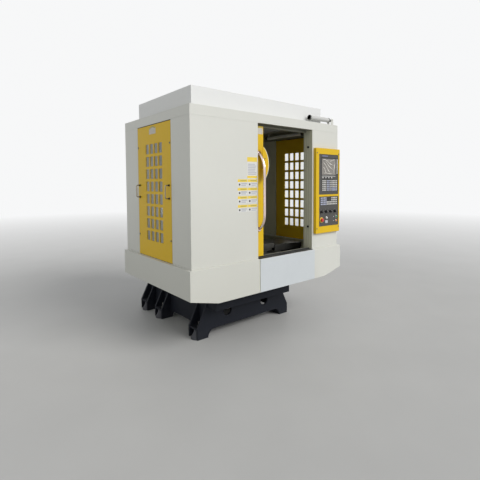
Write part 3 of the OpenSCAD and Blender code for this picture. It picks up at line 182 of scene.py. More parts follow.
def new_group(name: str, inputs: dict[str, object], outputs: Sequence[str]) -> tuple:
    """Starts a shader node group with named sockets.

    Args:
        name: The group's name.
        inputs: Name and default of each input; a number is a float, a tuple a colour.
        outputs: Name of each output.

    Returns:
        The tree's helper, the sockets of its inputs and its output node.
    """
    tree = bpy.data.node_groups.new(name, "ShaderNodeTree")
    for key, default in inputs.items():
        kind = "NodeSocketColor" if isinstance(default, tuple) else "NodeSocketFloat"
        tree.interface.new_socket(key, in_out="INPUT", socket_type=kind).default_value = default
    for key in outputs:
        tree.interface.new_socket(key, in_out="OUTPUT", socket_type=OUTPUT_KINDS.get(key, "NodeSocketFloat"))
    return Nodes(tree), tree.nodes.new("NodeGroupInput").outputs, tree.nodes.new("NodeGroupOutput")


@cache
def paint_group() -> Tree:
    """Sprayed or moulded skin: slow drifts of tone and gloss, and a fine peel or grain."""
    n, given, result = new_group(
        "paint_skin",
        {"Colour": (0.8, 0.8, 0.8, 1.0), "Tone": 0.04, "Roughness": 0.4, "Peel Scale": 300.0, "Patch Scale": 2.0},
        ("Colour", "Roughness", "Height"),
    )
    at = n.place()
    patch = n.times(n.noise(at, given["Patch Scale"], 4.0), 0.65)
    drift = n.calc("SUBTRACT", n.calc("MULTIPLY_ADD", n.noise(at, 23.0, 5.0), 0.35, patch), 0.5)
    gain = n.calc("MULTIPLY_ADD", n.times(drift, given["Tone"]), 4.0, 1.0)
    n.feed(result, {
        "Colour": n.scaled(given["Colour"], gain),
        "Roughness": n.calc("MULTIPLY_ADD", drift, 0.18, given["Roughness"]),
        "Height": n.noise(at, given["Peel Scale"], 2.0),
    })
    return n.tree


@cache
def wear_group() -> Tree:
    """Mask of rubbed edges, broken up by noise, from the difference of a rounded normal."""
    n, given, result = new_group("edge_wear", {"Width": 0.002, "Amount": 0.5}, ("Mask", "Normal"))
    soft = n.add("ShaderNodeBevel", {"Radius": given["Width"]}, samples=4).outputs[0]
    edge = n.ramp(n.vector("DOT_PRODUCT", soft, n.normal(), output="Value"), 0.97, 0.72)
    broken = n.ramp(n.noise(n.place(), 31.0, 6.0), 0.46, 0.62)
    n.feed(result, {"Mask": n.times(edge, broken, given["Amount"], clamp=True), "Normal": soft})
    return n.tree


@cache
def dust_group() -> Tree:
    """Mask of dust that lies on faces that look up, and of splashes low down."""
    n, given, result = new_group("shop_dust", {"Amount": 0.3, "Splash Height": 0.3}, ("Mask",))
    at = n.place()
    up = n.ramp(n.split(n.normal())[2], 0.4, 1.0)
    low = n.ramp(n.split(at)[2], given["Splash Height"], 0.0, 0.0, 0.6)
    cloud = n.ramp(n.noise(at, 9.0, 6.0), 0.35, 0.75)
    n.feed(result, {"Mask": n.times(n.calc("ADD", up, low, clamp=True), cloud, given["Amount"], clamp=True)})
    return n.tree


@cache
def brushed_group() -> Tree:
    """Fine lines of a ground or brushed surface that run along X, Y or Z."""
    n, given, result = new_group(
        "brushed_lines",
        {"Along X": 4.0, "Along Y": 400.0, "Along Z": 400.0, "Lines": 0.5, "Roughness": 0.3},
        ("Tone", "Roughness", "Height"),
    )
    at = n.place()
    stretch = n.combined({i: given[i] for i in range(3)})
    lines = n.noise(n.vector("MULTIPLY", at, stretch), 1.0, 2.0)
    tone = n.times(n.calc("SUBTRACT", lines, 0.5), given["Lines"])
    stained = n.calc("MULTIPLY_ADD", n.calc("SUBTRACT", n.noise(at, 7.0, 5.0), 0.5), 0.5, tone)
    n.feed(result, {
        "Tone": n.calc("ADD", stained, 1.0),
        "Roughness": n.calc("MULTIPLY_ADD", stained, 0.35, given["Roughness"]),
        "Height": lines,
    })
    return n.tree


@cache
def low_shade_group() -> Tree:
    """Mask of painted shade: a grey tone that deepens toward the floor and fades out to the right."""
    n, given, result = new_group("low_painted_shade", {"Amount": 0.3}, ("Mask",))
    at = n.place()
    across, _, height = n.split(at)
    low = n.times(n.ramp(height, 1.5, 0.42), n.ramp(across, 0.75, 0.5, 0.1, 1.0))
    uneven = n.ramp(n.noise(at, 1.4, 3.0), 0.2, 0.8, 0.75, 1.1)
    n.feed(result, {"Mask": n.times(low, uneven, given["Amount"], clamp=True)})
    return n.tree


@cache
def inside_shade_group() -> Tree:
    """Mask of the faces inside the enclosure and the chip pan, which get painted shade: a darker, olive tone."""
    n, given, result = new_group("enclosure_inside_shade", {"Amount": 1.0}, ("Mask",))
    at = n.place()

    def within(low: Point, high: Point) -> Socket:
        """1 between two corners, 0 outside them."""
        middle = tuple((a + b) / 2 for a, b in zip(low, high))
        half = tuple((b - a) / 2 for a, b in zip(low, high))
        x, y, z = n.split(n.vector("SUBTRACT", n.vector("ABSOLUTE", n.vector("SUBTRACT", at, middle)), half))
        return n.calc("LESS_THAN", n.calc("MAXIMUM", n.calc("MAXIMUM", x, y), z), 0.0)

    pan = n.times(within(*PAN_INSIDE), n.calc("GREATER_THAN", n.split(n.normal())[2], LEAST_UPWARD))
    n.feed(result, {"Mask": n.times(n.calc("MAXIMUM", within(*CABIN_INSIDE), pan), given["Amount"])})
    return n.tree


# ---------------------------------------------------------------- finishes


# Colour of the painted shade low down and to the left on the off-white sheets.
LOW_SHADE_COLOUR: Colour = (0.40, 0.395, 0.335)
# Colour of the painted shade on faces inside the enclosure and the chip pan.
INSIDE_SHADE_COLOUR: Colour = (0.61, 0.605, 0.475)


class Surface(Enum):
    """Ways in which a surface is made."""

    PAINT = "paint"
    BRUSHED = "brushed"
    CLEAR = "clear"


@dataclass(frozen=True)
class Finish:
    """One finish of the machine, made into a material on demand; its slot is the record's."""

    name: str
    slot: str
    colour: Colour
    surface: Surface = Surface.PAINT
    roughness: float = 0.4
    metallic: float = 0.0
    coat: float = 0.0
    tone: float = 0.03
    peel_scale: float = 300.0
    peel: float = 0.05
    patch_scale: float = 2.0
    wear: float = 0.0
    wear_colour: Colour = (0.25, 0.24, 0.22)
    wear_width: float = 0.0025
    specular: float = 0.5
    # film: strength of the painted shade that deepens toward the floor and the left.
    film: float = 0.0
    # inside: strength of the painted shade on faces inside the enclosure and the chip pan.
    inside: float = 0.0
    inside_shade_colour: Colour = INSIDE_SHADE_COLOUR
    # Colour of a painted reflection that darkens grazing angles.
    edge_colour: Colour | None = None
    dust: float = 0.0
    dust_colour: Colour = (0.42, 0.40, 0.36)
    splash_height: float = 0.0
    lines: float = 0.4
    line_scales: Point = (4.0, 400.0, 400.0)

    def like(self, name: str, slot: str, colour: Colour, **changes) -> "Finish":
        """A finish of the same kind in another colour."""
        return replace(self, name=name, slot=slot, colour=colour, **changes)

    @cache
    def material(self) -> bpy.types.Material:
        """The finish's material, made once.

        Returns:
            The material, out of the shared node groups that the finish asks for.
        """
        made = bpy.data.materials.new("finish_" + self.name)
        made.use_nodes = True
        n = Nodes(made.node_tree)
        if self.surface is Surface.BRUSHED:
            x, y, z = self.line_scales
            skin = n.group(brushed_group(), Along_X=x, Along_Y=y, Along_Z=z, Lines=self.lines,
                           Roughness=self.roughness)
            colour = n.scaled(self.colour, skin["Tone"])
        else:
            skin = n.group(paint_group(), Colour=rgba(self.colour), Tone=self.tone, Roughness=self.roughness,
                           Peel_Scale=self.peel_scale, Patch_Scale=self.patch_scale)
            colour = skin["Colour"]
        rough = skin["Roughness"]
        bump = {"Height": skin["Height"], "Strength": self.peel, "Distance": 0.001}
        # Painted reflection: the colour turns darker and browner toward grazing angles, like the edges of the chrome
        # handle.
        if self.edge_colour:
            facing = n.add("ShaderNodeLayerWeight", {"Blend": 0.5}).outputs["Facing"]
            colour = n.mix(n.ramp(facing, 0.3, 0.75), colour, rgba(self.edge_colour))
        # Painted shade: a grey tone that deepens toward the floor and the left.
        if self.film > 0:
            colour = n.mix(n.group(low_shade_group(), Amount=self.film)["Mask"], colour, rgba(LOW_SHADE_COLOUR))
        # Painted shade: a darker, olive tone on faces inside the enclosure and the chip pan.
        if self.inside > 0:
            colour = n.mix(n.group(inside_shade_group(), Amount=self.inside)["Mask"], colour, rgba(self.inside_shade_colour))
        if self.wear_width > 0:
            edges = n.group(wear_group(), Width=self.wear_width, Amount=self.wear)
            bump["Normal"] = edges["Normal"]
            if self.wear > 0:
                colour = n.mix(edges["Mask"], colour, rgba(self.wear_colour))
        if self.dust > 0:
            dusty = n.group(dust_group(), Amount=self.dust, Splash_Height=self.splash_height)["Mask"]
            colour = n.mix(dusty, colour, rgba(self.dust_colour))
            rough = n.calc("MULTIPLY_ADD", dusty, 0.4, rough, clamp=True)
        looks = {
            "Base Color": colour, "Roughness": rough, "Normal": n.add("ShaderNodeBump", bump).outputs[0],
            "Metallic": self.metallic, "Specular IOR Level": self.specular,
        }
        if self.coat > 0:
            looks |= {"Coat Weight": self.coat, "Coat Roughness": 0.12}
        if self.surface is Surface.CLEAR:
            looks |= {"Transmission Weight": 1.0, "IOR": 1.45}
        n.feed(n.tree.nodes["Principled BSDF"], looks)
        return made


# The off-white sheets carry painted shade toward the floor and the left (film) and inside the enclosure (inside).
OFF_WHITE = Finish("off_white", "panel_white", (0.665, 0.668, 0.625), roughness=0.42, tone=0.018, peel_scale=420.0,
                   peel=0.06, wear=0.25, wear_colour=(0.5, 0.49, 0.45), dust=0.12, splash_height=0.55, film=0.35,
                   inside=1.0)
# The roof's inner faces get a deeper painted shade than the walls.
ROOF_WHITE = replace(OFF_WHITE, name="roof_white", inside_shade_colour=(0.27, 0.265, 0.2))
HOOD_WHITE = Finish("hood_white", "panel_white", (0.76, 0.765, 0.76), roughness=0.5, tone=0.02, peel=0.12,
                    wear=0.2, wear_colour=(0.55, 0.54, 0.5), dust=0.1)
YELLOW = Finish("yellow", "panel_yellow", (0.735, 0.475, 0.012), roughness=0.44, coat=0.06, specular=0.22,
                peel_scale=420.0, peel=0.06, wear=0.3, wear_colour=(0.52, 0.35, 0.05), dust=0.06)
SILVER_SHEET = Finish("silver_sheet", "sill_silver", (0.585, 0.62, 0.645), roughness=0.36, peel_scale=90.0,
                      peel=0.03, patch_scale=4.0, wear=0.3, wear_colour=(0.85, 0.85, 0.84), dust=0.08,
                      splash_height=0.6)
CAST_BLACK = Finish("cast_black", "cast_black", (0.009, 0.011, 0.017), roughness=0.62, specular=0.2, tone=0.12,
                    peel_scale=140.0, peel=0.3, patch_scale=6.0, wear=0.3, wear_colour=(0.06, 0.06, 0.06),
                    wear_width=0.005, dust=0.1, dust_colour=(0.2, 0.19, 0.17), splash_height=0.1)
CAST_GREY = Finish("cast_grey", "cast_grey", (0.5, 0.51, 0.48), roughness=0.45, tone=0.05, peel_scale=150.0,
                   peel=0.3, patch_scale=5.0, wear=0.3, wear_width=0.004, dust=0.15)
TABLE_IRON = Finish("table_iron", "table_iron", (0.1, 0.098, 0.09), Surface.BRUSHED, roughness=0.36,
                    metallic=0.85, lines=0.5, peel=0.1, wear=0.25, wear_colour=(0.5, 0.5, 0.48), dust=0.12)
COVER_STEEL = TABLE_IRON.like("cover_steel", "way_cover_steel", (0.07, 0.07, 0.065), metallic=0.7, peel=0.08,
                              wear=0.3, wear_colour=(0.3, 0.3, 0.28), dust=0.15, dust_colour=(0.07, 0.065, 0.055))
GROUND_STEEL = Finish("ground_steel", "ground_steel", (0.56, 0.56, 0.55), Surface.BRUSHED, roughness=0.24,
                      metallic=1.0, line_scales=(30.0, 30.0, 600.0), lines=0.3, peel=0.06)
MOTOR_BLACK = Finish("motor_black", "motor_black", (0.022, 0.023, 0.026), roughness=0.48, tone=0.06,
                     peel_scale=500.0, peel=0.2, wear=0.3, wear_colour=(0.1, 0.1, 0.1), dust=0.2)
CLEAR_SHEET = Finish("clear_sheet", "window_sheet", (0.93, 0.95, 0.94), Surface.CLEAR, roughness=0.03, tone=0.02,
                     peel_scale=30.0, peel=0.02)
BOW_METAL = Finish("bow_metal", "handle_metal", (0.33, 0.295, 0.24), Surface.BRUSHED, roughness=0.16,
                   metallic=1.0, line_scales=(60.0, 60.0, 60.0), lines=0.1, peel=0.02)
# The chrome handle's darker, browner edges are a painted reflection.
CHROME = BOW_METAL.like("chrome", "handle_chrome", (0.74, 0.62, 0.58), line_scales=(60.0, 60.0, 8.0), lines=0.06,
                        peel=0.01, edge_colour=(0.3, 0.15, 0.12))
HEADER = Finish("header", "header_grey", (0.2, 0.2, 0.155), roughness=0.46, tone=0.04, dust=0.15, wear=0.2)
CONE_GREY = Finish("cone_grey", "cast_black", (0.055, 0.056, 0.066), roughness=0.55, specular=0.3, tone=0.08,
                   peel_scale=140.0, peel=0.2)
RUBBER = Finish("rubber", "bumper_rubber", (0.018, 0.018, 0.018), roughness=0.72, tone=0.1, peel_scale=260.0,
                peel=0.3, dust=0.1)
PANEL_DARK = Finish("panel_dark", "control_dark", (0.058, 0.056, 0.052), roughness=0.5, peel_scale=900.0, peel=0.2)
SCREEN = Finish("screen_film", "screen_dark", (0.21, 0.19, 0.165), roughness=0.24, coat=1.0, tone=0.12,
                peel_scale=60.0, peel=0.3, patch_scale=14.0, wear_width=0.0)
# Painted highlight on the crests of the screen film's folds.
CREST_HIGHLIGHT = Finish("crest_highlight", "screen_dark", (0.66, 0.63, 0.57), roughness=0.2, coat=1.0, tone=0.04, peel=0.02,
                wear_width=0.0)
RED = Finish("red", "red_plastic", (0.58, 0.016, 0.014), roughness=0.3, coat=0.4, tone=0.02, peel=0.02)
GREEN = RED.like("green", "green_plastic", (0.015, 0.26, 0.115))
ORANGE = RED.like("orange", "orange_plastic", (0.86, 0.31, 0.045))
WHITE_CAP = RED.like("white_cap", "white_plastic", (0.82, 0.82, 0.8), roughness=0.32, coat=0.3)
KNOB = Finish("knob", "knob_black", (0.012, 0.012, 0.013), roughness=0.38, tone=0.04, peel_scale=900.0, peel=0.15)
RING_GREY = Finish("ring_grey", "knob_black", (0.16, 0.16, 0.155), tone=0.04)
LAMP_TUBE = Finish("lamp_tube", "lamp_tube", (0.68, 0.69, 0.67), roughness=0.22, coat=0.3, tone=0.04, dust=0.15)
LAMP_GREY = Finish("lamp_grey", "lamp_grey", (0.56, 0.56, 0.545), roughness=0.34, coat=0.2, dust=0.15)
KEY_LIGHT = Finish("key_light", "white_plastic", (0.64, 0.63, 0.6), roughness=0.42, peel_scale=900.0, peel=0.1)
KEY_BLUE = KEY_LIGHT.like("key_blue", "white_plastic", (0.47, 0.5, 0.64))
KEY_DARK = KEY_LIGHT.like("key_dark", "white_plastic", (0.025, 0.025, 0.03))
CARD_WHITE = Finish("card_white", "white_plastic", (0.72, 0.72, 0.7), roughness=0.5, tone=0.02, peel=0.02,
                    wear_width=0.0)
CARD_YELLOW = CARD_WHITE.like("card_yellow", "panel_yellow", (0.84, 0.62, 0.07))
CARD_OLIVE = CARD_WHITE.like("card_olive", "panel_yellow", (0.42, 0.36, 0.09), tone=0.05, patch_scale=30.0)
CARD_DARK = CARD_WHITE.like("card_dark", "knob_black", (0.05, 0.045, 0.05), tone=0.05)
CARD_SHADED = CARD_WHITE.like("card_shaded", "white_plastic", (0.56, 0.53, 0.47), tone=0.05, patch_scale=20.0)
CARD_BLUE = CARD_WHITE.like("card_blue", "control_dark", (0.16, 0.18, 0.3), tone=0.1, patch_scale=60.0)
# Painted highlight along the rim of the door's grip plate.
CARD_RIM_HIGHLIGHT = CARD_WHITE.like("card_rim_highlight", "panel_yellow", (0.86, 0.83, 0.66), roughness=0.4)
CARD_GREY = CARD_WHITE.like("card_grey", "white_plastic", (0.5, 0.51, 0.54), tone=0.05, patch_scale=40.0)
SCREW_STEEL = Finish("screw_steel", "ground_steel", (0.13, 0.125, 0.115), roughness=0.35, metallic=0.8, tone=0.06)
ZINC = Finish("zinc", "ground_steel", (0.55, 0.54, 0.5), roughness=0.3, metallic=1.0, tone=0.06, peel_scale=200.0)
BRASS = Finish("brass", "ground_steel", (0.6, 0.42, 0.16), roughness=0.3, metallic=1.0, tone=0.05, peel=0.03)
HOSE_BLUE = Finish("hose_blue", "motor_black", (0.03, 0.12, 0.42), roughness=0.42)

SLOT_FINISHES: dict[str, Finish] = {finish.slot: finish for finish in (
    CAST_BLACK, CAST_GREY, TABLE_IRON, GROUND_STEEL, MOTOR_BLACK, COVER_STEEL, OFF_WHITE, SILVER_SHEET, YELLOW,
    CLEAR_SHEET, BOW_METAL, CHROME, HEADER, RUBBER, PANEL_DARK, SCREEN, RED, GREEN, ORANGE, WHITE_CAP, KNOB,
    LAMP_TUBE, LAMP_GREY,
)}
NODE_FINISHES: dict[str, Finish] = {"roof_hood": HOOD_WHITE, "roof_cover": ROOF_WHITE}


# ---------------------------------------------------------------- mesh helpers


SHARP_ANGLE = math.radians(32)


def put(name: str, data: bpy.types.ID) -> Object:
    """Adds an object to the scene."""
    made = bpy.data.objects.new(name, data)
    bpy.context.scene.collection.objects.link(made)
    return made


@dataclass
class Shape:
    """Closed solids collected in one mesh, in mm; every call that adds one returns the shape."""

    mesh: BMesh = field(default_factory=bmesh.new)

    def take(self, part: BMesh) -> "Shape":
        """Adds another mesh and frees it."""
        held = bpy.data.meshes.new("held")
        part.to_mesh(held)
        part.free()
        self.mesh.from_mesh(held)
        bpy.data.meshes.remove(held)
        return self

    def close(self, part: BMesh) -> "Shape":
        """Turns the faces of a closed mesh outward and adds it."""
        bmesh.ops.recalc_face_normals(part, faces=part.faces[:])
        return self.take(part)

    def block(self, low: Sequence[float], high: Sequence[float], bevel: float = 0.0, segments: int = 2) -> "Shape":
        """Adds a box between two corners.

        Args:
            low: The lowest corner.
            high: The highest corner.
            bevel: Radius of its edges.
            segments: Steps round each edge.

        Returns:
            The shape.
        """
        part = bmesh.new()
        size = [b - a for a, b in zip(low, high)]
        centre = [(a + b) / 2 for a, b in zip(low, high)]
        bmesh.ops.create_cube(part, size=1.0, matrix=Matrix.LocRotScale(centre, None, size))
        if bevel > 0:
            bmesh.ops.bevel(part, geom=part.edges[:], offset=bevel, segments=segments, affect="EDGES", profile=0.5)
        return self.take(part)

    def lathe(self, centre: Sequence[float], axis: Sequence[float], profile: Sequence[Pair],
              steps: int = 32) -> "Shape":
        """Adds a turned solid.

        Args:
            centre: Where the profile's heights start.
            axis: Direction of the heights.
            profile: Radius and height of each point, from the bottom to the top; its ends are closed.
            steps: Number of sides.

        Returns:
            The shape.
        """
        part = bmesh.new()
        place = Matrix.Translation(centre) @ Vector(axis).to_track_quat("Z", "Y").to_matrix().to_4x4()
        rings = []
        for radius, height in profile:
            turns = circle(steps) if radius else (0.0,)
            rings.append([part.verts.new(place @ Vector((radius * math.cos(a), radius * math.sin(a), height)))
                          for a in turns])
        for lower, upper in zip(rings, rings[1:]):
            for i in range(steps):
                j = (i + 1) % steps
                corners = [lower[i % len(lower)], lower[j % len(lower)], upper[j % len(upper)], upper[i % len(upper)]]
                unique = list(dict.fromkeys(corners))
                if len(unique) > 2:
                    part.faces.new(unique)
        for ring in (rings[0], rings[-1]):
            if len(ring) > 2:
                part.faces.new(ring)
        return self.close(part)

    def rod(self, start: Sequence[float], end: Sequence[float], radius: float, steps: int, chamfer: float) -> "Shape":
        """Adds a round bar with chamfered ends."""
        along = Vector(end) - Vector(start)
        length = along.length
        return self.lathe(start, along, [(radius - chamfer, 0.0), (radius, chamfer), (radius, length - chamfer),
                                         (radius - chamfer, length)], steps)

    def prism(self, outline: Sequence[Sequence[float]], depth: Sequence[float]) -> "Shape":
        """Adds a flat outline pushed through a depth.

        Args:
            outline: Its corners in order.
            depth: The way and distance that it is pushed.

        Returns:
            The shape.
        """
        part = bmesh.new()
        near, far = ([part.verts.new(Vector(p) + Vector(push)) for p in outline] for push in ((0, 0, 0), depth))
        part.faces.new(near)
        part.faces.new(far)
        for i in range(len(near)):
            j = (i + 1) % len(near)
            part.faces.new((near[i], near[j], far[j], far[i]))
        return self.close(part)

    def frame_xz(self, x: Pair, z: Pair, y: Pair, width: float) -> "Shape":
        """Adds a rectangular frame that faces -Y: its outer ranges and the width of its bars."""
        (x0, x1), (y0, y1), (z0, z1) = x, y, z
        for left, low, right, high in ((x0, z0, x1, z0 + width), (x0, z1 - width, x1, z1),
                                       (x0, z0 + width, x0 + width, z1 - width),
                                       (x1 - width, z0 + width, x1, z1 - width)):
            self.block((left, y0, low), (right, y1, high))
        return self


# ---------------------------------------------------------------- studio


@dataclass
class Studio:
    """Floor, light and the camera at the photograph's place."""

    eye: Point = (-2.4174, -3.4520, 1.4723)
    yaw: float = math.radians(39.277)
    pitch: float = math.radians(-3.0225)
    roll: float = -0.0058
    lens: float = 27.654
    shift_y: float = -0.0792
    floor_size: float = 60.0
    floor_fade: Pair = (3.5, 16.0)
    floor_tones: tuple[Colour, Colour] = ((0.47, 0.47, 0.465), (0.53, 0.53, 0.525))
    background: Colour = (0.93, 0.935, 0.94)
    surround: Colour = (0.97, 0.985, 1.0)
    surround_strength: float = 0.42

    def camera(self) -> None:
        """Puts the camera where the photograph was taken."""
        view = bpy.data.cameras.new("photo_view")
        view.sensor_width, view.lens, view.shift_y = 36.0, self.lens, self.shift_y
        seat = put("photo_view", view)
        seat.matrix_world = (Matrix.Translation(self.eye) @ Matrix.Rotation(-self.yaw, 4, "Z")
                             @ Matrix.Rotation(math.pi / 2 + self.pitch, 4, "X")
                             @ Matrix.Rotation(self.roll, 4, "Z"))
        bpy.context.scene.camera = seat

    def world(self) -> None:
        """A plain pale surround that lights the machine softly."""
        made = bpy.data.worlds.new("studio")
        made.use_nodes = True
        n = Nodes(made.node_tree)
        n.tree.nodes.clear()
        light = n.add("ShaderNodeBackground", {"Color": rgba(self.surround), "Strength": self.surround_strength})
        seen = n.add("ShaderNodeBackground", {"Color": rgba(self.background), "Strength": 1.0})
        n.add("ShaderNodeOutputWorld", {0: n.mix_shader(n.seen_directly(), light, seen)})
        bpy.context.scene.world = made

    def floor(self) -> None:
        """A pale floor that fades into the background far from the machine."""
        half = self.floor_size / 2
        mesh = bpy.data.meshes.new("floor")
        mesh.from_pydata([(-half, -half, 0), (half, -half, 0), (half, half, 0), (-half, half, 0)], [], [(0, 1, 2, 3)])
        skin = bpy.data.materials.new("studio_floor")
        skin.use_nodes = True
        n = Nodes(skin.node_tree)
        shader = n.tree.nodes["Principled BSDF"]
        at = n.place()
        tones = n.mix(n.noise(at, 1.7, 5.0), *map(rgba, self.floor_tones))
        n.feed(shader, {"Base Color": tones, "Roughness": 0.55})
        glow = n.add("ShaderNodeEmission", {"Color": rgba(self.background), "Strength": 1.0})
        fade = n.times(n.ramp(n.vector("LENGTH", at, output="Value"), *self.floor_fade), n.seen_directly())
        n.feed(n.tree.nodes["Material Output"], {"Surface": n.mix_shader(fade, shader, glow)})
        mesh.materials.append(skin)
        put("floor", mesh)

    def lamp(self, name: str, direction: Point, strength: float, spread: float, colour: Colour) -> None:
        """Adds a broad lamp far away, shining along a direction."""
        light = bpy.data.lights.new(name, "SUN")
        light.energy, light.angle, light.color = strength, math.radians(spread), colour
        put(name, light).rotation_euler = Vector(direction).to_track_quat("-Z", "Y").to_euler()

    def build(self) -> None:
        """Makes the camera, the surround, the floor and the lamps."""
        self.camera()
        self.world()
        self.floor()
        self.lamp("key", (-0.38, 1.0, -0.72), 2.1, 34.0, (1.0, 0.99, 0.97))
        self.lamp("fill", (1.0, 0.35, -0.5), 0.26, 50.0, (0.97, 1.0, 0.9))
        bpy.context.scene.view_settings.view_transform = "Standard"
        log.info("studio ready")


# ---------------------------------------------------------------- repeated small parts


class SmallPart(Enum):
    """Small parts that are repeated by a node tree."""

    HEX_BOLT = "hex_bolt"
    SOCKET_SCREW = "socket_screw"
    RIVET = "rivet"
    KEY_CAP = "key_cap"


@dataclass
class Repeater(Nodes):
    """A Geometry Nodes tree that sets one small part on every point of a mesh, facing one way."""

    tree: Tree = field(init=False)
    kind: SmallPart
    sockets: dict[str, str] = field(init=False, default_factory=dict)

    SIZES = {"Width": 0.01, "Height": 0.004, "Length": 0.01, "Turn Spread": 3.1}

    def socket(self, name: str, kind: str, way: str = "INPUT") -> bpy.types.NodeTreeInterfaceSocket:
        """Adds a named socket to the tree."""
        made = self.tree.interface.new_socket(name, in_out=way, socket_type="NodeSocket" + kind)
        self.sockets[name] = made.identifier
        return made

    def __post_init__(self) -> None:
        """Builds the tree with its named inputs."""
        self.tree = bpy.data.node_groups.new("repeat_" + self.kind.value, "GeometryNodeTree")
        self.socket("Points", "Geometry")
        for name, default in self.SIZES.items():
            self.socket(name, "Float").default_value = default
        self.socket("Aim", "Vector")
        self.socket("Finish", "Material")
        self.socket("Mesh", "Geometry", "OUTPUT")
        given = self.tree.nodes.new("NodeGroupInput").outputs
        facing = self.add("FunctionNodeAlignRotationToVector", {"Vector": given["Aim"]}, axis="Z").outputs[0]
        chance = self.add("FunctionNodeRandomValue", {3: given["Turn Spread"], "Seed": 7}, data_type="FLOAT")
        turn = self.add("FunctionNodeAxisAngleToRotation", {"Axis": (0, 0, 1), "Angle": chance.outputs[1]}).outputs[0]
        both = self.add("FunctionNodeRotateRotation", {0: facing, 1: turn}, rotation_space="LOCAL").outputs[0]
        placed = self.add("GeometryNodeInstanceOnPoints",
                          {"Points": given["Points"], "Instance": self.part(given), "Rotation": both})
        real = self.add("GeometryNodeRealizeInstances", {0: placed.outputs[0]}).outputs[0]
        dressed = self.add("GeometryNodeSetMaterial", {"Geometry": real, "Material": given["Finish"]})
        self.add("NodeGroupOutput", {0: dressed.outputs[0]})

    def part(self, given: Outputs) -> Socket:
        """The small part itself, standing on the point along +Z.

        Args:
            given: The tree's inputs.

        Returns:
            Its geometry.
        """
        width, height = given["Width"], given["Height"]
        if self.kind is SmallPart.HEX_BOLT:
            washer = self.drum(24, self.times(width, 0.62), 0.0025)
            head = self.capped(self.drum(6, self.times(width, 0.5), height), 0.9, 0.0008)
            joint = self.tree.nodes.new("GeometryNodeJoinGeometry")
            for mesh in (washer, head):
                self.feed(joint, {0: mesh})
            return joint.outputs[0]
        if self.kind is SmallPart.SOCKET_SCREW:
            rounded = self.capped(self.drum(20, self.times(width, 0.5), height), 0.86, 0.0005)
            return self.recessed(rounded, 0.5, height)
        if self.kind is SmallPart.RIVET:
            head = self.drum(16, self.times(width, 0.5), height)
            return self.capped(self.capped(head, 0.8, 0.0006), 0.5, 0.0003)
        size = self.combined({0: width, 1: given["Length"], 2: height})
        block = self.add("GeometryNodeMeshCube", {"Size": size}).outputs["Mesh"]
        return self.capped(self.moved(block, self.times(height, 0.5)), 0.88, 0.0004)

    def moved(self, mesh: Socket, rise: Socket) -> Socket:
        """Lifts a mesh along Z."""
        lift = {"Geometry": mesh, "Translation": self.combined({2: rise})}
        return self.add("GeometryNodeTransform", lift).outputs[0]

    def drum(self, sides: int, radius, height) -> Socket:
        """A prism or cylinder that stands on the point."""
        made = self.add("GeometryNodeMeshCylinder", {"Vertices": sides, "Radius": radius, "Depth": height})
        return self.moved(made.outputs["Mesh"], self.times(height, 0.5))

    def top_faces(self) -> Socket:
        """Selects the faces that look along +Z."""
        up = self.split(self.tree.nodes.new("GeometryNodeInputNormal").outputs[0])[2]
        return self.add("FunctionNodeCompare", {0: up, 1: 0.9}, data_type="FLOAT", operation="GREATER_THAN").outputs[0]

    def extruded(self, mesh: Socket, selection: Socket, rise) -> Outputs:
        """Pushes faces out of a mesh, or into it, together."""
        return self.add("GeometryNodeExtrudeMesh", {
            "Mesh": mesh, "Selection": selection, "Offset Scale": rise, "Individual": False}).outputs

    def shrunk(self, mesh: Socket, selection: Socket, scale: float) -> Socket:
        """Shrinks faces about their middle."""
        return self.add("GeometryNodeScaleElements",
                        {"Geometry": mesh, "Selection": selection, "Scale": scale}).outputs[0]

    def capped(self, mesh: Socket, scale: float, rise: float) -> Socket:
        """Adds a chamfered top to a mesh."""
        grown = self.extruded(mesh, self.top_faces(), rise)
        return self.shrunk(grown["Mesh"], grown["Top"], scale)

    def recessed(self, mesh: Socket, scale: float, height: Socket) -> Socket:
        """Sinks the middle of a mesh's top."""
        ring = self.extruded(mesh, self.top_faces(), 0.0)
        small = self.shrunk(ring["Mesh"], ring["Top"], scale)
        return self.extruded(small, ring["Top"], self.times(height, -0.6))["Mesh"]

    def run(self, name: str, places: Sequence[Point], settings: dict) -> Object:
        """Sets the part on each place and keeps the result as a plain mesh.

        Args:
            name: The piece's name.
            places: Where the parts stand, in millimetres.
            settings: Value of each named input of the tree.

        Returns:
            The new object.
        """
        points = bpy.data.meshes.new(name + "_points")
        points.from_pydata([[MM * v for v in place] for place in places], [], [])
        seat = put(name + "_points", points)
        live = seat.modifiers.new("repeat", "NODES")
        live.node_group = self.tree
        for key, value in settings.items():
            live[self.sockets[key]] = value
        mesh = bpy.data.meshes.new_from_object(seat.evaluated_get(bpy.context.evaluated_depsgraph_get()))
        seat.modifiers.remove(live)
        bpy.data.objects.remove(seat)
        bpy.data.meshes.remove(points)
        mesh.name = name
        return put(name, mesh)


# ---------------------------------------------------------------- workshop


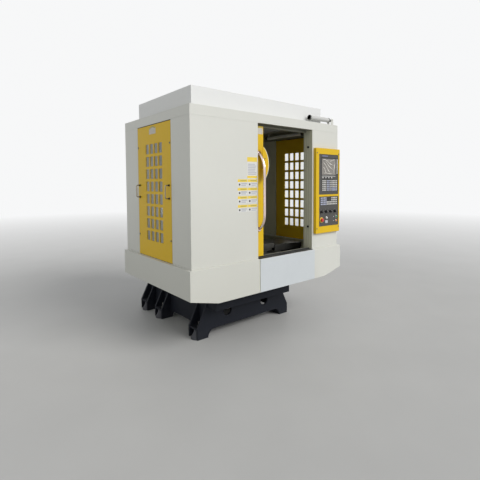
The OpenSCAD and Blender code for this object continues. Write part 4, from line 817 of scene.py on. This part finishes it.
@dataclass
class Workshop:
    """Makes finished pieces and keeps the trees of the small parts."""

    kinds: dict[SmallPart, Repeater] = field(default_factory=dict)
    made: int = 0

    def dress_solids(self) -> None:
        """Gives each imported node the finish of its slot, or its own."""
        slots = {part["node"]: part["material_slot"] for part in frame["record"]["subparts"]}
        for name, node in frame["nodes"].items():
            made = NODE_FINISHES.get(name, SLOT_FINISHES[slots[name]]).material()
            for place in node.material_slots:
                place.material = made
            if not node.material_slots:
                node.data.materials.append(made)
        log.info("%d solids dressed", len(frame["nodes"]))

    def piece(self, name: str, shape: Shape, finish: Finish, body: str = "machine",
              slot: str | None = None) -> Object:
        """Turns a shape into a piece that rides on a body.

        Args:
            name: The piece's name.
            shape: Its solids, in place.
            finish: Its finish.
            body: The body that it rides on.
            slot: The record's slot, where it isn't its finish's own; not used.

        Returns:
            The new object, at the origin.
        """
        mesh = bpy.data.meshes.new(name)
        shape.mesh.to_mesh(mesh)
        shape.mesh.free()
        mesh.transform(Matrix.Scale(MM, 4))
        return self.settle(put(name, mesh), finish, body)

    def fit(self, kind: SmallPart, name: str, places: Sequence[Point], aim: Point, width: float, height: float,
            finish: Finish, body: str = "machine", length: float = 10.0, spread: float = 3.1) -> Object:
        """Fits one kind of small part in many places.

        Args:
            kind: The part.
            name: The piece's name.
            places: Where the parts stand, in millimetres.
            aim: The way they face.
            width: Across the part, in millimetres.
            height: How far it stands out, in millimetres.
            finish: Its finish.
            body: The body that it rides on.
            length: The other side of a key, in millimetres.
            spread: The spread of its turn about its own axis, in radians.

        Returns:
            The new object.
        """
        if kind not in self.kinds:
            self.kinds[kind] = Repeater(kind)
        made = self.kinds[kind].run(name, places, {
            "Width": width * MM, "Height": height * MM, "Length": length * MM, "Turn Spread": spread,
            "Aim": tuple(float(v) for v in aim), "Finish": finish.material()})
        return self.settle(made, finish, body)

    def settle(self, made: Object, finish: Finish, body: str) -> Object:
        """Smooths an object and gives it its finish and body."""
        self.smooth(made.data)
        made.data.materials.clear()
        made.data.materials.append(finish.material())
        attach(made, body)
        self.made += 1
        log.info("%s: %d faces, on %s", made.name, len(made.data.polygons), body)
        return made

    @staticmethod
    def smooth(mesh: bpy.types.Mesh) -> None:
        """Shades a mesh smooth, with its sharp edges kept."""
        held = bmesh.new()
        held.from_mesh(mesh)
        for edge in held.edges:
            edge.smooth = len(edge.link_faces) == 2 and edge.calc_face_angle(0.0) < SHARP_ANGLE
        for face in held.faces:
            face.smooth = True
        held.to_mesh(mesh)
        held.free()


# ---------------------------------------------------------------- the machine's pieces


BUTTON_PLACES: dict[str, Pair] = {"white": (832, 1086), "green": (1002, 1090), "orange": (1000, 1046)}
STOP_PLACE: Pair = (746, 1066)
SELECTOR_X = (742, 818, 894, 970)
SELECTOR_Z = 1154


@dataclass
class Assembly:
    """Small pieces of one sub-assembly, made by the methods that STEPS names, in that order."""

    shop: Workshop

    STEPS = ()

    def build(self) -> None:
        """Makes its pieces."""
        for step in self.STEPS:
            getattr(self, step)()


@dataclass
class BedFittings(Assembly):
    """Levelling screws through the shelves of the bed's feet, each with its lock nut and its pad on the floor."""

    STEPS = ("levelling",)
    foot_x: float = 540.0
    hole_y: tuple[float, ...] = (-532.0, 197.0, 532.0)
    shelf_top: float = 105.0
    screw_rise: float = 48.0
    pad_x: float = 566.0
    pad_profile: tuple[Pair, ...] = ((60, 0), (60, 8), (32, 55), (28, 89))

    def levelling(self) -> None:
        """Screws, their nuts and the pads, which reach out of the feet's pockets."""
        places = [(side * self.foot_x, y) for side in LEFT_RIGHT for y in self.hole_y]
        screws, pads = Shape(), Shape()
        for x, y in places:
            screws.rod((x, y, 1), (x, y, self.shelf_top + self.screw_rise), 11.5, 20, 1.5)
            pads.lathe((math.copysign(self.pad_x, x), y, 1), (0, 0, 1), self.pad_profile, 48)
        self.shop.piece("levelling_pads", pads, CONE_GREY)
        self.shop.piece("levelling_screws", screws, SCREW_STEEL)
        self.shop.fit(SmallPart.HEX_BOLT, "levelling_nuts", [(x, y, self.shelf_top) for x, y in places],
                      (0, 0, 1), 36, 15, SCREW_STEEL)


@dataclass
class Enclosure(Assembly):
    """Bare cards, fasteners, seals and seams of the sheet-metal enclosure, and trim of its lamps and handles."""

    STEPS = ("front_cards", "side_card", "fasteners", "panel_seals", "lamp_ends", "tread", "ferrules", "seams")
    front: float = -930.0
    left: float = -864.0
    right: float = 1057.0
    fastener_y: Pair = (-604.0, 32.0)
    fastener_z: Pair = (966.0, 1818.0)
    card_thickness: float = 0.5
    print_thickness: float = 0.15
    tall_card_x: Pair = (-269.0, -151.0)
    tall_card_z: Pair = (1506.0, 1700.0)
    small_card_x: tuple[float, ...] = (-380.0, -262.0)
    small_card_top: tuple[float, ...] = (1500.0, 1425.0, 1350.0, 1273.0)
    small_card_size: Pair = (112.0, 64.0)
    seam_z: Pair = (2014.6, 2017.4)
    doorway_x: Pair = (-139.0, 625.0)
    seal_y: Pair = (-640.0, 60.0)
    seal_z: tuple[Pair, ...] = ((764.5, 769.5), (2007.0, 2015.5))
    ring_place: Point = (633.0, -880.0, 2154.0)
    ring_pitch: float = 309.0
    cap_place: Point = (956.0, -522.0, 2046.0)
    cap_pitch: float = 606.0
    handle_y: Pair = (-585.0, 5.0)
    handle_z: Pair = (1336.0, 1451.0)
    ferrule_profile: tuple[Pair, ...] = ((0, 0), (9.5, 0), (9.5, 6.2), (7, 7.5),
                                         (6.4, 17), (5.2, 18), (0, 18))

    def field(self, into: Shape, x: Pair, z: Pair, layer: int = 1) -> None:
        """Adds one flat field of a card on the front panel.

        Args:
            into: The shape that gets it.
            x: Left and right edge.
            z: Lower and upper edge.
            layer: 0 for the sheet itself, 1 for a field printed on it.
        """
        back = self.front - (self.card_thickness if layer else 0.0)
        depth = self.print_thickness if layer else self.card_thickness
        into.block((x[0], back - depth, z[0]), (x[1], back, z[1]))

    def front_cards(self) -> None:
        """Bare cards where the real machine carries its notices."""
        paper, header, bar, grey, dark = (Shape() for _ in range(5))
        x = self.tall_card_x
        self.field(paper, x, self.tall_card_z, 0)
        self.field(header, x, (1659, self.tall_card_z[1]))
        self.field(header, x, (1511, 1532))
        for z in range(1541, 1646, 15):
            self.field(grey, (x[0] + 9, x[1] - 12 - z % 4 * 5), (z, z + 10))
        wide, high = self.small_card_size
        for left in self.small_card_x:
            for top in self.small_card_top:
                right = left + wide
                self.field(paper, (left, right), (top - high, top), 0)
                self.field(header, (left, right), (top - 24, top))
                self.field(grey, (left + 40, right - 6), (top - 45, top - 30))
                self.field(grey, (left + 40, right - 18), (top - 59, top - 49))
                self.field(dark, (left + 12, left + 30), (top - 54, top - 37))
                bar.block((left + 30, self.front - 0.8, top - 16), (right - 14, self.front - 0.65, top - 8))
        self.shop.piece("notice_cards", paper, CARD_WHITE)
        self.shop.piece("notice_card_headers", header, CARD_YELLOW)
        self.shop.piece("notice_card_bars", bar, CARD_OLIVE)
        self.shop.piece("notice_card_fields", grey, CARD_GREY, slot="panel_white")
        self.shop.piece("notice_card_marks", dark, CARD_DARK)

    def side_card(self) -> None:
        """A card with a shallow arched head at the top of the left access panel."""
        out = self.left - self.card_thickness
        y0, y1, foot, shoulder, rise = -341.0, -209.0, 1926.0, 1979.0, 19.0
        arc = [(y0 + (y1 - y0) * t, shoulder + rise * math.sin(math.pi * t)) for t in (i / 16 for i in range(17))]
        head = [*arc[1:-1], *((y, z - 13) for y, z in reversed(arc[1:-1]))]
        for name, outline, x, depth, finish in (
                ("side_card", [(y1, foot), (y0, foot), *arc], self.left, self.card_thickness, CARD_SHADED),
                ("side_card_head", head, out, self.print_thickness, CARD_OLIVE)):
            self.shop.piece(name, Shape().prism([(x, y, z) for y, z in outline], (-depth, 0, 0)), finish)

    def fasteners(self) -> None:
        """Quarter-turn fasteners at the edges of both side access panels."""
        for name, x, aim in (("left_panel_fasteners", self.left, -1), ("right_panel_fasteners", self.right, 1)):
            places = [(x, y, z) for y in self.fastener_y for z in self.fastener_z]
            self.shop.fit(SmallPart.SOCKET_SCREW, name, places, (aim, 0, 0), 17, 3.2, SCREW_STEEL)

    def panel_seals(self) -> None:
        """Rubber seals behind the upper and lower edge of both side access panels."""
        seals = Shape()
        for inner in (self.left + 4, self.right - 12):
            for low, high in self.seal_z:
                seals.block((inner, self.seal_y[0], low), (inner + 8, self.seal_y[1], high), 1)
        self.shop.piece("panel_seals", seals, RUBBER)

    def lamp_ends(self) -> None:
        """Dark end rings of the folding signal lamp, and end caps of the tube lamp under the roof."""
        rings, caps = Shape(), Shape()
        ring, cap = Vector(self.ring_place), Vector(self.cap_place)
        for start in (ring, ring + Vector((self.ring_pitch, 0, 0))):
            rings.rod(start, start + Vector((14, 0, 0)), 26.3, 40, 1.5)
        for start in (cap, cap + Vector((0, self.cap_pitch, 0))):
            caps.rod(start, start + Vector((0, 28, 0)), 23.8, 40, 1.5)
        self.shop.piece("signal_lamp_rings", rings, RING_GREY, "signal_lamp")
        self.shop.piece("work_lamp_caps", caps, KNOB)

    def tread(self) -> None:
        """Dark tread on the pan's rim in the doorway, on both sides of the door's lower guide."""
        x, end = self.doorway_x
        outer = [(-945.5, 760.5), (-930, 765), (-890.2, 765), (-890.2, 776.2), (-891.6, 776.2), (-891.6, 766.2),
                 (-930.4, 766.2), (-945.8, 761.7)]
        mats = Shape().prism([(x, y, z) for y, z in outer], (end - x, 0, 0))
        self.shop.piece("doorway_tread", mats.block((x, -869.5, 765), (end, -864.5, 766.2)), RUBBER)

    def ferrules(self) -> None:
        """Black ferrules where the side panels' bow handles meet the sheet."""
        ends = Shape()
        for x, out in ((self.left, -1), (self.right, 1)):
            for y in self.handle_y:
                for z in self.handle_z:
                    ends.lathe((x, y, z), (out, 0, 0), self.ferrule_profile, 32)
        self.shop.piece("bow_ferrules", ends, KNOB)

    def seams(self) -> None:
        """Folded edges where the roof tray meets the panels below it."""
        beads, thick = Shape(), 0.5
        low, high = self.seam_z
        for x0, x1 in ((self.left, -140), (628, self.right)):
            beads.block((x0, self.front - thick, low), (x1, self.front, high), 0.2, 1)
        for x in (self.left - thick, self.right):
            for y0, y1 in ((self.front, -624), (50, 358)):
                beads.block((x, y0, low), (x + thick, y1, high), 0.2, 1)
        self.shop.piece("roof_seams", beads, OFF_WHITE)


@dataclass
class DoorTrim(Assembly):
    """Trim of the sliding door: window seal, bare strip, a pale band that paints a highlight on the grip plate's rim,
    and the plate's screws.
    """

    STEPS = ("seal", "strip", "grip")
    face: float = -900.0
    window_x: Pair = (-696.0, -236.0)
    window_z: Pair = (1120.0, 1760.0)
    strip_x: Pair = (-134.0, -53.0)
    strip_z: Pair = (1920.0, 1974.0)
    band_z: Pair = (1977.0, 1988.0)
    grip_face: float = -944.0
    grip_centre: Pair = (-242.0, 1641.0)
    grip_radius: float = 228.0
    grip_half_turn: float = math.radians(43)
    grip_screw_x: float = -66.0
    grip_screw_z: Pair = (1590.0, 1692.0)

    def seal(self) -> None:
        """Rubber seal round the door's window."""
        (x0, x1), (z0, z1) = self.window_x, self.window_z
        frame_bars = Shape().frame_xz((x0 - 7, x1 + 7), (z0 - 7, z1 + 7), (self.face - 2.5, self.face + 1), 11)
        self.shop.piece("door_window_seal", frame_bars, RUBBER, "door")

    def strip(self) -> None:
        """Bare strip at the top of the door, with a band above it."""
        for name, (low, high), finish in (("door_strip_card", self.strip_z, CARD_SHADED),
                                          ("door_strip_band", self.band_z, CARD_OLIVE)):
            card = Shape().block((self.strip_x[0], self.face - 0.6, low), (self.strip_x[1], self.face, high))
            self.shop.piece(name, card, finish, "door")

    def grip(self) -> None:
        """Pale band along the crescent grip plate's rim, a painted highlight, and the plate's screws."""
        x, z = self.grip_centre
        turns = [self.grip_half_turn * (i / 24 - 1) for i in range(49)]
        arc = [(x + r * math.cos(a), self.grip_face, z + r * math.sin(a))
               for r, path in ((self.grip_radius - 0.3, turns), (self.grip_radius - 5.0, turns[::-1])) for a in path]
        self.shop.piece("grip_plate_rim_highlight", Shape().prism(arc, (0, -0.4, 0)), CARD_RIM_HIGHLIGHT, "door")
        places = [(self.grip_screw_x, self.grip_face, z) for z in self.grip_screw_z]
        self.shop.fit(SmallPart.SOCKET_SCREW, "grip_plate_screws", places, (0, -1, 0), 12, 3, SCREW_STEEL, "door")


@dataclass(frozen=True)
class KeyBlock:
    """A block of equal key caps: its corner in mm, its counts across and upward, and the keys left out."""

    name: str
    finish: Finish
    corner: Pair
    counts: tuple[int, int]
    pitch: Pair
    size: Pair
    skip: tuple[tuple[int, int], ...] = ()


KEY_BLOCKS = (
    KeyBlock("letters", KEY_LIGHT, (756, 1378), (3, 6), (24, 20), (19, 14)),
    KeyBlock("figures", KEY_BLUE, (836, 1378), (2, 6), (24, 20), (19, 14)),
    KeyBlock("narrow", KEY_LIGHT, (890, 1378), (1, 6), (24, 20), (14, 14)),
    KeyBlock("cursor", KEY_BLUE, (912, 1378), (4, 2), (26, 20), (21, 14)),
    KeyBlock("edit", KEY_LIGHT, (912, 1418), (4, 4), (26, 20), (21, 14)),
    KeyBlock("soft", KEY_DARK, (756, 1512), (7, 1), (25, 20), (20, 14), ((0, 0), (2, 0), (4, 0), (6, 0))),
    KeyBlock("soft_light", KEY_LIGHT, (756, 1512), (7, 1), (25, 20), (20, 14), ((1, 0), (3, 0), (5, 0))),
    KeyBlock("mode", KEY_BLUE, (730, 1226), (4, 4), (26, 22), (21, 15)),
    KeyBlock("override", KEY_LIGHT, (834, 1226), (3, 2), (26, 22), (21, 15)),
    KeyBlock("dark", KEY_DARK, (834, 1270), (3, 2), (26, 22), (21, 15), ((2, 0),)),
    KeyBlock("axis", KEY_LIGHT, (912, 1226), (4, 4), (26, 22), (21, 15)),
)


@dataclass
class ControlStation(Assembly):
    """Keys, screen film, bezels, scales, card slot and screws of the control box."""

    STEPS = ("keys", "screen", "dials", "screws")
    face: float = -958.0
    front: float = -962.0
    screen_x: Pair = (748.0, 992.0)
    screen_z: Pair = (1548.0, 1724.0)
    film_back: float = -957.1
    film_cells: tuple[int, int] = (72, 56)
    fold_height: float = 2.6
    folds: tuple[tuple[float, float, float, float], ...] = (
        (0.06, 0.78, 0.62, 0.12), (0.2, 0.86, 0.8, 0.3), (0.38, 0.84, 0.93, 0.52), (0.05, 0.5, 0.36, 0.08),
        (0.06, 0.92, 0.5, 0.88), (0.5, 0.88, 0.93, 0.93), (0.92, 0.9, 0.86, 0.12), (0.1, 0.07, 0.75, 0.1),
    )
    screw_profile: tuple[Pair, ...] = ((0, 0), (7.5, 0), (7.2, 1.5), (6, 2.4), (0, 2.4))

    def keys(self) -> None:
        """Key caps over the membrane keys, in the groups of colours that the panels show."""
        for block in KEY_BLOCKS:
            (x, z), (wide, high) = block.corner, block.size
            places = [(x + i * block.pitch[0] + wide / 2, self.face - 2.5, z + j * block.pitch[1] + high / 2)
                      for i in range(block.counts[0]) for j in range(block.counts[1]) if (i, j) not in block.skip]
            self.shop.fit(SmallPart.KEY_CAP, "keys_" + block.name, places, (0, -1, 0), wide - 1, 1.1, block.finish,
                          length=high - 1, spread=0.0)

    def plate(self, x: Pair, z: Pair, out: float, bevel: float = 0.0, into: float = 0.0) -> Shape:
        """A thin plate on the panel's face that stands out a little and reaches into it a little, in mm."""
        return Shape().block((x[0], self.face - out, z[0]), (x[1], self.face + into, z[1]), bevel)

    def screen(self) -> None:
        """Screen bezel and film, the strips round it and the cover of the card slot."""
        (x0, x1), (z0, z1) = self.screen_x, self.screen_z
        bezel = Shape().frame_xz((x0 - 9, x1 + 9), (z0 - 9, z1 + 9), (self.face - 1.6, self.face + 0.5), 10)
        self.shop.piece("screen_bezel", bezel, KNOB)
        strip = self.plate((752, 984), (1532, 1540), 1.2, 0.4)
        strip.block((1006, self.face - 2.4, 1560), (1020, self.face, 1722), 1.2)
        self.shop.piece("panel_strips", strip, KEY_LIGHT)
        self.shop.piece("screen_head", self.plate((746.5, 993.5), (1734, 1741), 1.6, 0.3, 0.5), PANEL_DARK)
        self.shop.piece("screen_badge", self.plate((756, 852), (1745, 1757), 0.5), CARD_BLUE)
        self.shop.piece("screen_film", self.film_sheet(), SCREEN)
        # Pale crests of the film's folds: a painted highlight.
        self.shop.piece("screen_film_crest_highlights", self.film_crest_highlights(), CREST_HIGHLIGHT)

    def film_rise(self, u: float, v: float) -> float:
        """How far the screen's film stands off the glass.

        Args:
            u: Place across the screen, 0 to 1.
            v: Place up the screen, 0 to 1.

        Returns:
            The height in mm.
        """
        most = 0.0
        for u0, v0, u1, v1 in self.folds:
            du, dv = u1 - u0, v1 - v0
            along = ((u - u0) * du + (v - v0) * dv) / (du * du + dv * dv)
            off = ((u - u0) * dv - (v - v0) * du) / math.hypot(du, dv) + self.fold_bow(u0, along)
            fade = 1.0 / (1.0 + math.exp(14.0 * (abs(along - 0.5) - 0.52)))
            most = max(most, self.fold_height * fade * math.exp(-((off / 0.034) ** 2)))
        return most * min(1.0, min(u, 1.0 - u, v, 1.0 - v) / 0.05)

    @staticmethod
    def fold_bow(start: float, along: float) -> float:
        """Sideways sweep of a fold at a place along it."""
        return 0.03 * math.sin(5.0 * along + 7.0 * start)

    def film_point(self, u: float, v: float, lift: float) -> tuple[float, ...]:
        """A place on the film's front, or lift mm in front of it."""
        x, z = self.screen_x, self.screen_z
        return (x[0] + 2 + u * (x[1] - x[0] - 4), self.film_back - 0.4 - self.film_rise(u, v) - lift,
                  z[0] + 2 + v * (z[1] - z[0] - 4))

    def film_sheet(self) -> Shape:
        """Protective film over the screen, standing off it in folds."""
        columns, rows = self.film_cells
        part = bmesh.new()
        fronts, backs = [], []
        for i in range(columns + 1):
            for j in range(rows + 1):
                here = self.film_point(i / columns, j / rows, 0.0)
                fronts.append(part.verts.new(here))
                backs.append(part.verts.new((here[0], self.film_back, here[2])))
        for i in range(columns):
            for j in range(rows):
                a, b = i * (rows + 1) + j, (i + 1) * (rows + 1) + j
                part.faces.new((fronts[a], fronts[b], fronts[b + 1], fronts[a + 1]))
                part.faces.new((backs[a + 1], backs[b + 1], backs[b], backs[a]))
        ring = [(i, 0) for i in range(columns)] + [(columns, j) for j in range(rows)]
        ring += [(i, rows) for i in range(columns, 0, -1)] + [(0, j) for j in range(rows, 0, -1)]
        numbers = [i * (rows + 1) + j for i, j in ring]
        for a, b in zip(numbers, numbers[1:] + numbers[:1]):
            part.faces.new((backs[a], backs[b], fronts[b], fronts[a]))
        return Shape().close(part)

    def film_crest_highlights(self) -> Shape:
        """Pale strips along the crests of the film's folds: a painted highlight where the crests catch the light."""
        highlights, steps, outline = Shape(), 28, (0, 1, 2, 5, 4, 3)
        for u0, v0, u1, v1 in self.folds:
            du, dv = u1 - u0, v1 - v0
            length = math.hypot(du, dv)
            part = bmesh.new()
            rows = []
            for i in range(steps + 1):
                t = 0.04 + 0.92 * i / steps
                taper = math.sin(math.pi * i / steps) ** 0.6
                half = 0.021 * taper * (0.75 + 0.35 * math.sin(9.0 * t + 11.0 * u0)) + 0.001
                offsets = [side - self.fold_bow(u0, t) for side in (-half, 0.0, half)]
                rows.append([part.verts.new(self.film_point(u0 + du * t + off * dv / length,
                                                            v0 + dv * t - off * du / length, lift))
                             for lift in (0.02, 0.2) for off in offsets])
            for first, second in zip(rows, rows[1:]):
                for a, b in zip(outline, outline[1:] + outline[:1]):
                    part.faces.new((first[a], first[b], second[b], second[a]))
            part.faces.new([rows[0][k] for k in outline])
            part.faces.new([rows[-1][k] for k in reversed(outline)])
            highlights.close(part)
        return highlights

    def dials(self) -> None:
        """Scale rings round the four selectors, bezels round the buttons and the disc behind the stop button."""
        ticks = Shape()
        for centre in SELECTOR_X:
            for step in range(11):
                angle = math.radians(-135 + 27 * step)
                place = Matrix.Translation((centre, self.face, SELECTOR_Z)) @ Matrix.Rotation(angle, 4, "Y")
                part = bmesh.new()
                bmesh.ops.create_cube(part, size=1.0, matrix=place @ Matrix.LocRotScale(
                    (0, -0.25, 21.5), None, (1.3, 0.5, 4.0)))
                ticks.take(part)
        self.shop.piece("dial_ticks", ticks, CARD_WHITE)
        rings, hole = Shape(), 11.8
        for x, z in BUTTON_PLACES.values():
            self.collar(rings, (x, self.face, z), hole,
                        [(15.2, 0), (15.2, 3), (13.8, 4.2), (hole, 4.2)], 40)
        self.shop.piece("button_bezels", rings, ZINC)
        disc, hole = Shape(), 14.5
        self.collar(disc, (STOP_PLACE[0], self.face - 0.2, STOP_PLACE[1]), hole,
                    [(29.25, 0), (29.25, 3), (28.8, 3.4), (hole, 3.4)], 56)
        self.shop.piece("stop_disc", disc, CARD_YELLOW)
        labels = self.plate((812, 856), (1028, 1058), 0.9, 0.3)
        for z in (1090, 1046):
            labels.block((952, self.face - 0.9, z - 4), (966, self.face, z + 4), 0.3)
        self.shop.piece("button_plate", labels, CARD_GREY)

    @staticmethod
    def collar(into: Shape, at: Point, hole: float, profile: list[Pair], steps: int) -> None:
        """Adds a turned ring on the panel: its outside first, and then the wall of its hole."""
        into.lathe(at, (0, -1, 0), [(hole, 0), *profile], steps)
        into.lathe(at, (0, -1, 0), [(hole, 0), profile[-1]], steps)

    def screws(self) -> None:
        """Slotted screws at the corners of the box."""
        heads = Shape()
        for x in (668, 1040):
            for z in (979, 1780):
                heads.lathe((x, self.front, z), (0, -1, 0), self.screw_profile, 28)
        self.shop.piece("box_screws", heads, SCREW_STEEL)


@dataclass
class MovingControls(Assembly):
    """Caps and marks that ride on the buttons and the selectors."""

    STEPS = ("caps", "crown", "pointers")
    button_front: float = -967.0
    button_radius: float = 10.9
    stop_front: float = -977.5
    crown_profile: tuple[Pair, ...] = ((0, 0), (19.5, 0), (18.8, 1.8), (14, 3.5),
                                       (6, 4.2), (0, 4.3))

    def caps(self) -> None:
        """Domed caps of the three buttons."""
        r = self.button_radius
        profile = [(0, 0), (r * 0.93, 0.0), (r * 0.9, 0.9), (r * 0.75, 1.6), (r * 0.45, 2.1),
                   (0, 2.3)]
        for colour, finish in (("green", GREEN), ("orange", ORANGE), ("white", WHITE_CAP)):
            x, z = BUTTON_PLACES[colour]
            dome = Shape().lathe((x, self.button_front + 0.2, z), (0, -1, 0), profile, 40)
            self.shop.piece(colour + "_cap", dome, finish, colour + "_button")

    def crown(self) -> None:
        """Domed head of the stop button."""
        x, z = STOP_PLACE
        crown = Shape().lathe((x, self.stop_front, z), (0, -1, 0), self.crown_profile, 48)
        self.shop.piece("estop_crown", crown, RED, "estop_button")

    def pointers(self) -> None:
        """White marks on the selectors' knobs."""
        for number, x in enumerate(SELECTOR_X, 1):
            mark = Shape().block((x - 0.9, -982.4, SELECTOR_Z + 4), (x + 0.9, -981.8, SELECTOR_Z + 14.5))
            self.shop.piece(f"pointer_{number}", mark, CARD_WHITE, f"selector_{number}")


@dataclass
class SpindleTrim(Assembly):
    """Coolant nozzles and screws on the head."""

    STEPS = ("nozzles", "bolts")
    corner: Pair = (102.0, -372.0)
    underside: float = 1335.0
    block_height: float = 26.0
    block_half: Pair = (14.0, 12.0)
    links: int = 7
    bend_drop: float = 70.0
    tip: Point = (48.0, -334.0, 1236.0)
    spindle_y: float = -300.0
    flange_radius: float = 76.0
    flange_z: float = 1301.0
    motor_bolt: float = 62.0
    motor_z: float = 1839.0

    def nozzle(self, joints: Shape, blocks: Shape, side: float) -> None:
        """Adds one jointed nozzle that points at the spindle's nose.

        Args:
            joints: Gets the ball joints and the tip.
            blocks: Gets the valve block.
            side: -1 for the left one, 1 for the right one.
        """
        x, y, low = side * self.corner[0], self.corner[1], self.underside - self.block_height
        wide, deep = self.block_half
        blocks.block((x - wide, y - deep, low), (x + wide, y + deep, self.underside), 2)
        start = Vector((x, y, low))
        bend = Vector((x * 0.98, y + 6, self.underside - self.bend_drop))
        tip = Vector((side * self.tip[0], *self.tip[1:]))
        for i in range(self.links):
            t = i / (self.links - 1)
            here = (1 - t) ** 2 * start + 2 * t * (1 - t) * bend + t * t * tip
            along = 2 * (1 - t) * (bend - start) + 2 * t * (tip - bend)
            wide, length = (7.5, 21) if i < self.links - 1 else (5.5, 30)
            joints.lathe(here, along, [(0, -6), (wide * 0.7, -6), (wide, -1), (wide * 0.98, 5),
                                       (wide * 0.62, length * 0.55), (0, length * 0.55)], 18)

    def nozzles(self) -> None:
        """Both coolant nozzles."""
        joints, blocks = Shape(), Shape()
        for side in LEFT_RIGHT:
            self.nozzle(joints, blocks, side)
        self.shop.piece("coolant_nozzles", joints, HOSE_BLUE, "head")
        self.shop.piece("coolant_blocks", blocks, BRASS, "head")

    def bolts(self) -> None:
        """Screws of the spindle's flange and bolts of its motor."""
        r, half = self.flange_radius, self.motor_bolt
        ring = [(r * math.cos(a), self.spindle_y + r * math.sin(a), self.flange_z)
                for a in (math.radians(30 + 60 * i) for i in range(6))]
        self.shop.fit(SmallPart.SOCKET_SCREW, "flange_screws", ring, (0, 0, -1), 12, 4, SCREW_STEEL, "head")
        corners = [(sx * half, self.spindle_y + sy * half, self.motor_z) for sx in LEFT_RIGHT for sy in LEFT_RIGHT]
        self.shop.fit(SmallPart.HEX_BOLT, "spindle_motor_bolts", corners, (0, 0, 1), 16, 6, ZINC, "head")


@dataclass
class DriveHardware(Assembly):
    """Bolts of the axis motors and rivets of the way covers."""

    STEPS = ("bolts", "rivets")
    table_y: float = -470.0
    z_flange: Point = (0.0, 96.0, 1918.0)
    z_bolt: float = 46.0
    x_flange: Point = (566.0, -470.0, 716.0)
    x_bolt: float = 41.0
    cover_edge_x: float = 493.0
    cover_top: float = 808.0
    front_cover: Pair = (-858.0, 734.0)

    def bolts(self) -> None:
        """Bolts of the motors at the flanges of the Z and X drives."""
        corners = [(a, b) for a in LEFT_RIGHT for b in LEFT_RIGHT]
        x, y, z = self.z_flange
        places = [(x + a * self.z_bolt, y + b * self.z_bolt, z) for a, b in corners]
        self.shop.fit(SmallPart.HEX_BOLT, "z_motor_bolts", places, (0, 0, 1), 13, 5, ZINC)
        x, y, z = self.x_flange
        places = [(x, y + a * self.x_bolt, z + b * self.x_bolt) for a, b in corners]
        self.shop.fit(SmallPart.HEX_BOLT, "x_motor_bolts", places, (1, 0, 0), 12, 5, ZINC, "saddle")

    def rivets(self) -> None:
        """Rivets along the edges of the way covers."""
        inner = [(side * self.cover_edge_x, self.table_y + y, self.cover_top)
                 for side in LEFT_RIGHT for y in range(-180, 181, 60)]
        self.shop.fit(SmallPart.RIVET, "x_cover_rivets", inner, (0, 0, 1), 7, 1.0, ZINC, "table")
        front = [(x, *self.front_cover) for x in range(-300, 301, 100)]
        self.shop.fit(SmallPart.RIVET, "y_cover_rivets", front, (0, 0, 1), 7, 1.0, ZINC, "saddle")


@dataclass
class ServiceSide(Assembly):
    """Locks, module faces and sight glass at the back of the machine."""

    STEPS = ("modules", "locks", "sight")
    lock: Pair = (528.0, 982.0)
    lock_z: Pair = (900.0, 1700.0)
    sight_place: Point = (-274.0, 472.0, 1090.0)
    drives: tuple[float, ...] = (-240.0, -150.0, -60.0, 30.0)
    duct_z: tuple[float, ...] = (1280.0, 1120.0, 960.0)
    relays: tuple[float, ...] = tuple(-230.0 + 74 * i for i in range(9))
    lock_profile: tuple[Pair, ...] = ((0, 0), (13, 0), (13, 3), (11.5, 4.5), (0, 4.5))
    sight_profile: tuple[Pair, ...] = ((0, 0), (16, 0), (16, 3), (12, 5), (0, 5.5))

    def modules(self) -> None:
        """Dark faces, terminal strips and duct lids on the modules inside the electrical cabinet."""
        faces, strips, lids = Shape(), Shape(), Shape()
        for left in self.drives:
            faces.block((left + 3, 840.5, 1384), (left + 67, 843.5, 1736), 1.5)
            strips.block((left + 10, 843, 1396), (left + 60, 855, 1424), 1.5)
            strips.block((left + 18, 843, 1690), (left + 52, 845.5, 1716), 1)
        faces.block((153, 800.5, 1404), (307, 803.5, 1696), 1.5)
        strips.block((163, 803, 1414), (297, 817, 1446), 1.5)
        for z in self.duct_z:
            lids.block((-252, 730.5, z - 42), (442, 734, z + 42), 1.5)
            for left in self.relays:
                faces.block((left, 733.5, z - 26), (left + 52, 772, z + 26), 2)
                strips.block((left + 20, 771.5, z - 8), (left + 32, 780, z + 8), 1)
        self.shop.piece("module_faces", faces, PANEL_DARK)
        self.shop.piece("module_terminals", strips, CARD_GREY)
        self.shop.piece("module_rails", lids, ZINC)

    def locks(self) -> None:
        """Quarter-turn locks of the cabinet's door."""
        locks, slots = Shape(), Shape()
        x, y = self.lock
        for z in self.lock_z:
            locks.lathe((x, y, z), (0, 1, 0), self.lock_profile, 32)
            slots.block((x - 1.2, y + 4.2, z - 7), (x + 1.2, y + 4.9, z + 7))
        self.shop.piece("cabinet_locks", locks, ZINC, "electrical_door")
        self.shop.piece("lock_slots", slots, KNOB, "electrical_door")

    def sight(self) -> None:
        """Sight glass of the lubricator."""
        glass = Shape().lathe(self.sight_place, (0, 1, 0), self.sight_profile, 32)
        self.shop.piece("lubricator_sight", glass, BRASS)


def main() -> None:
    """Builds the machine's looks in order."""
    logging.basicConfig(level=logging.INFO, format="%(name)s: %(message)s")
    Studio().build()
    shop = Workshop()
    shop.dress_solids()
    for part in (BedFittings, Enclosure, DoorTrim, ControlStation, MovingControls, SpindleTrim, DriveHardware,
                 ServiceSide):
        part(shop).build()
    log.info("%d pieces made", shop.made)


if __name__ == "__main__":
    main()
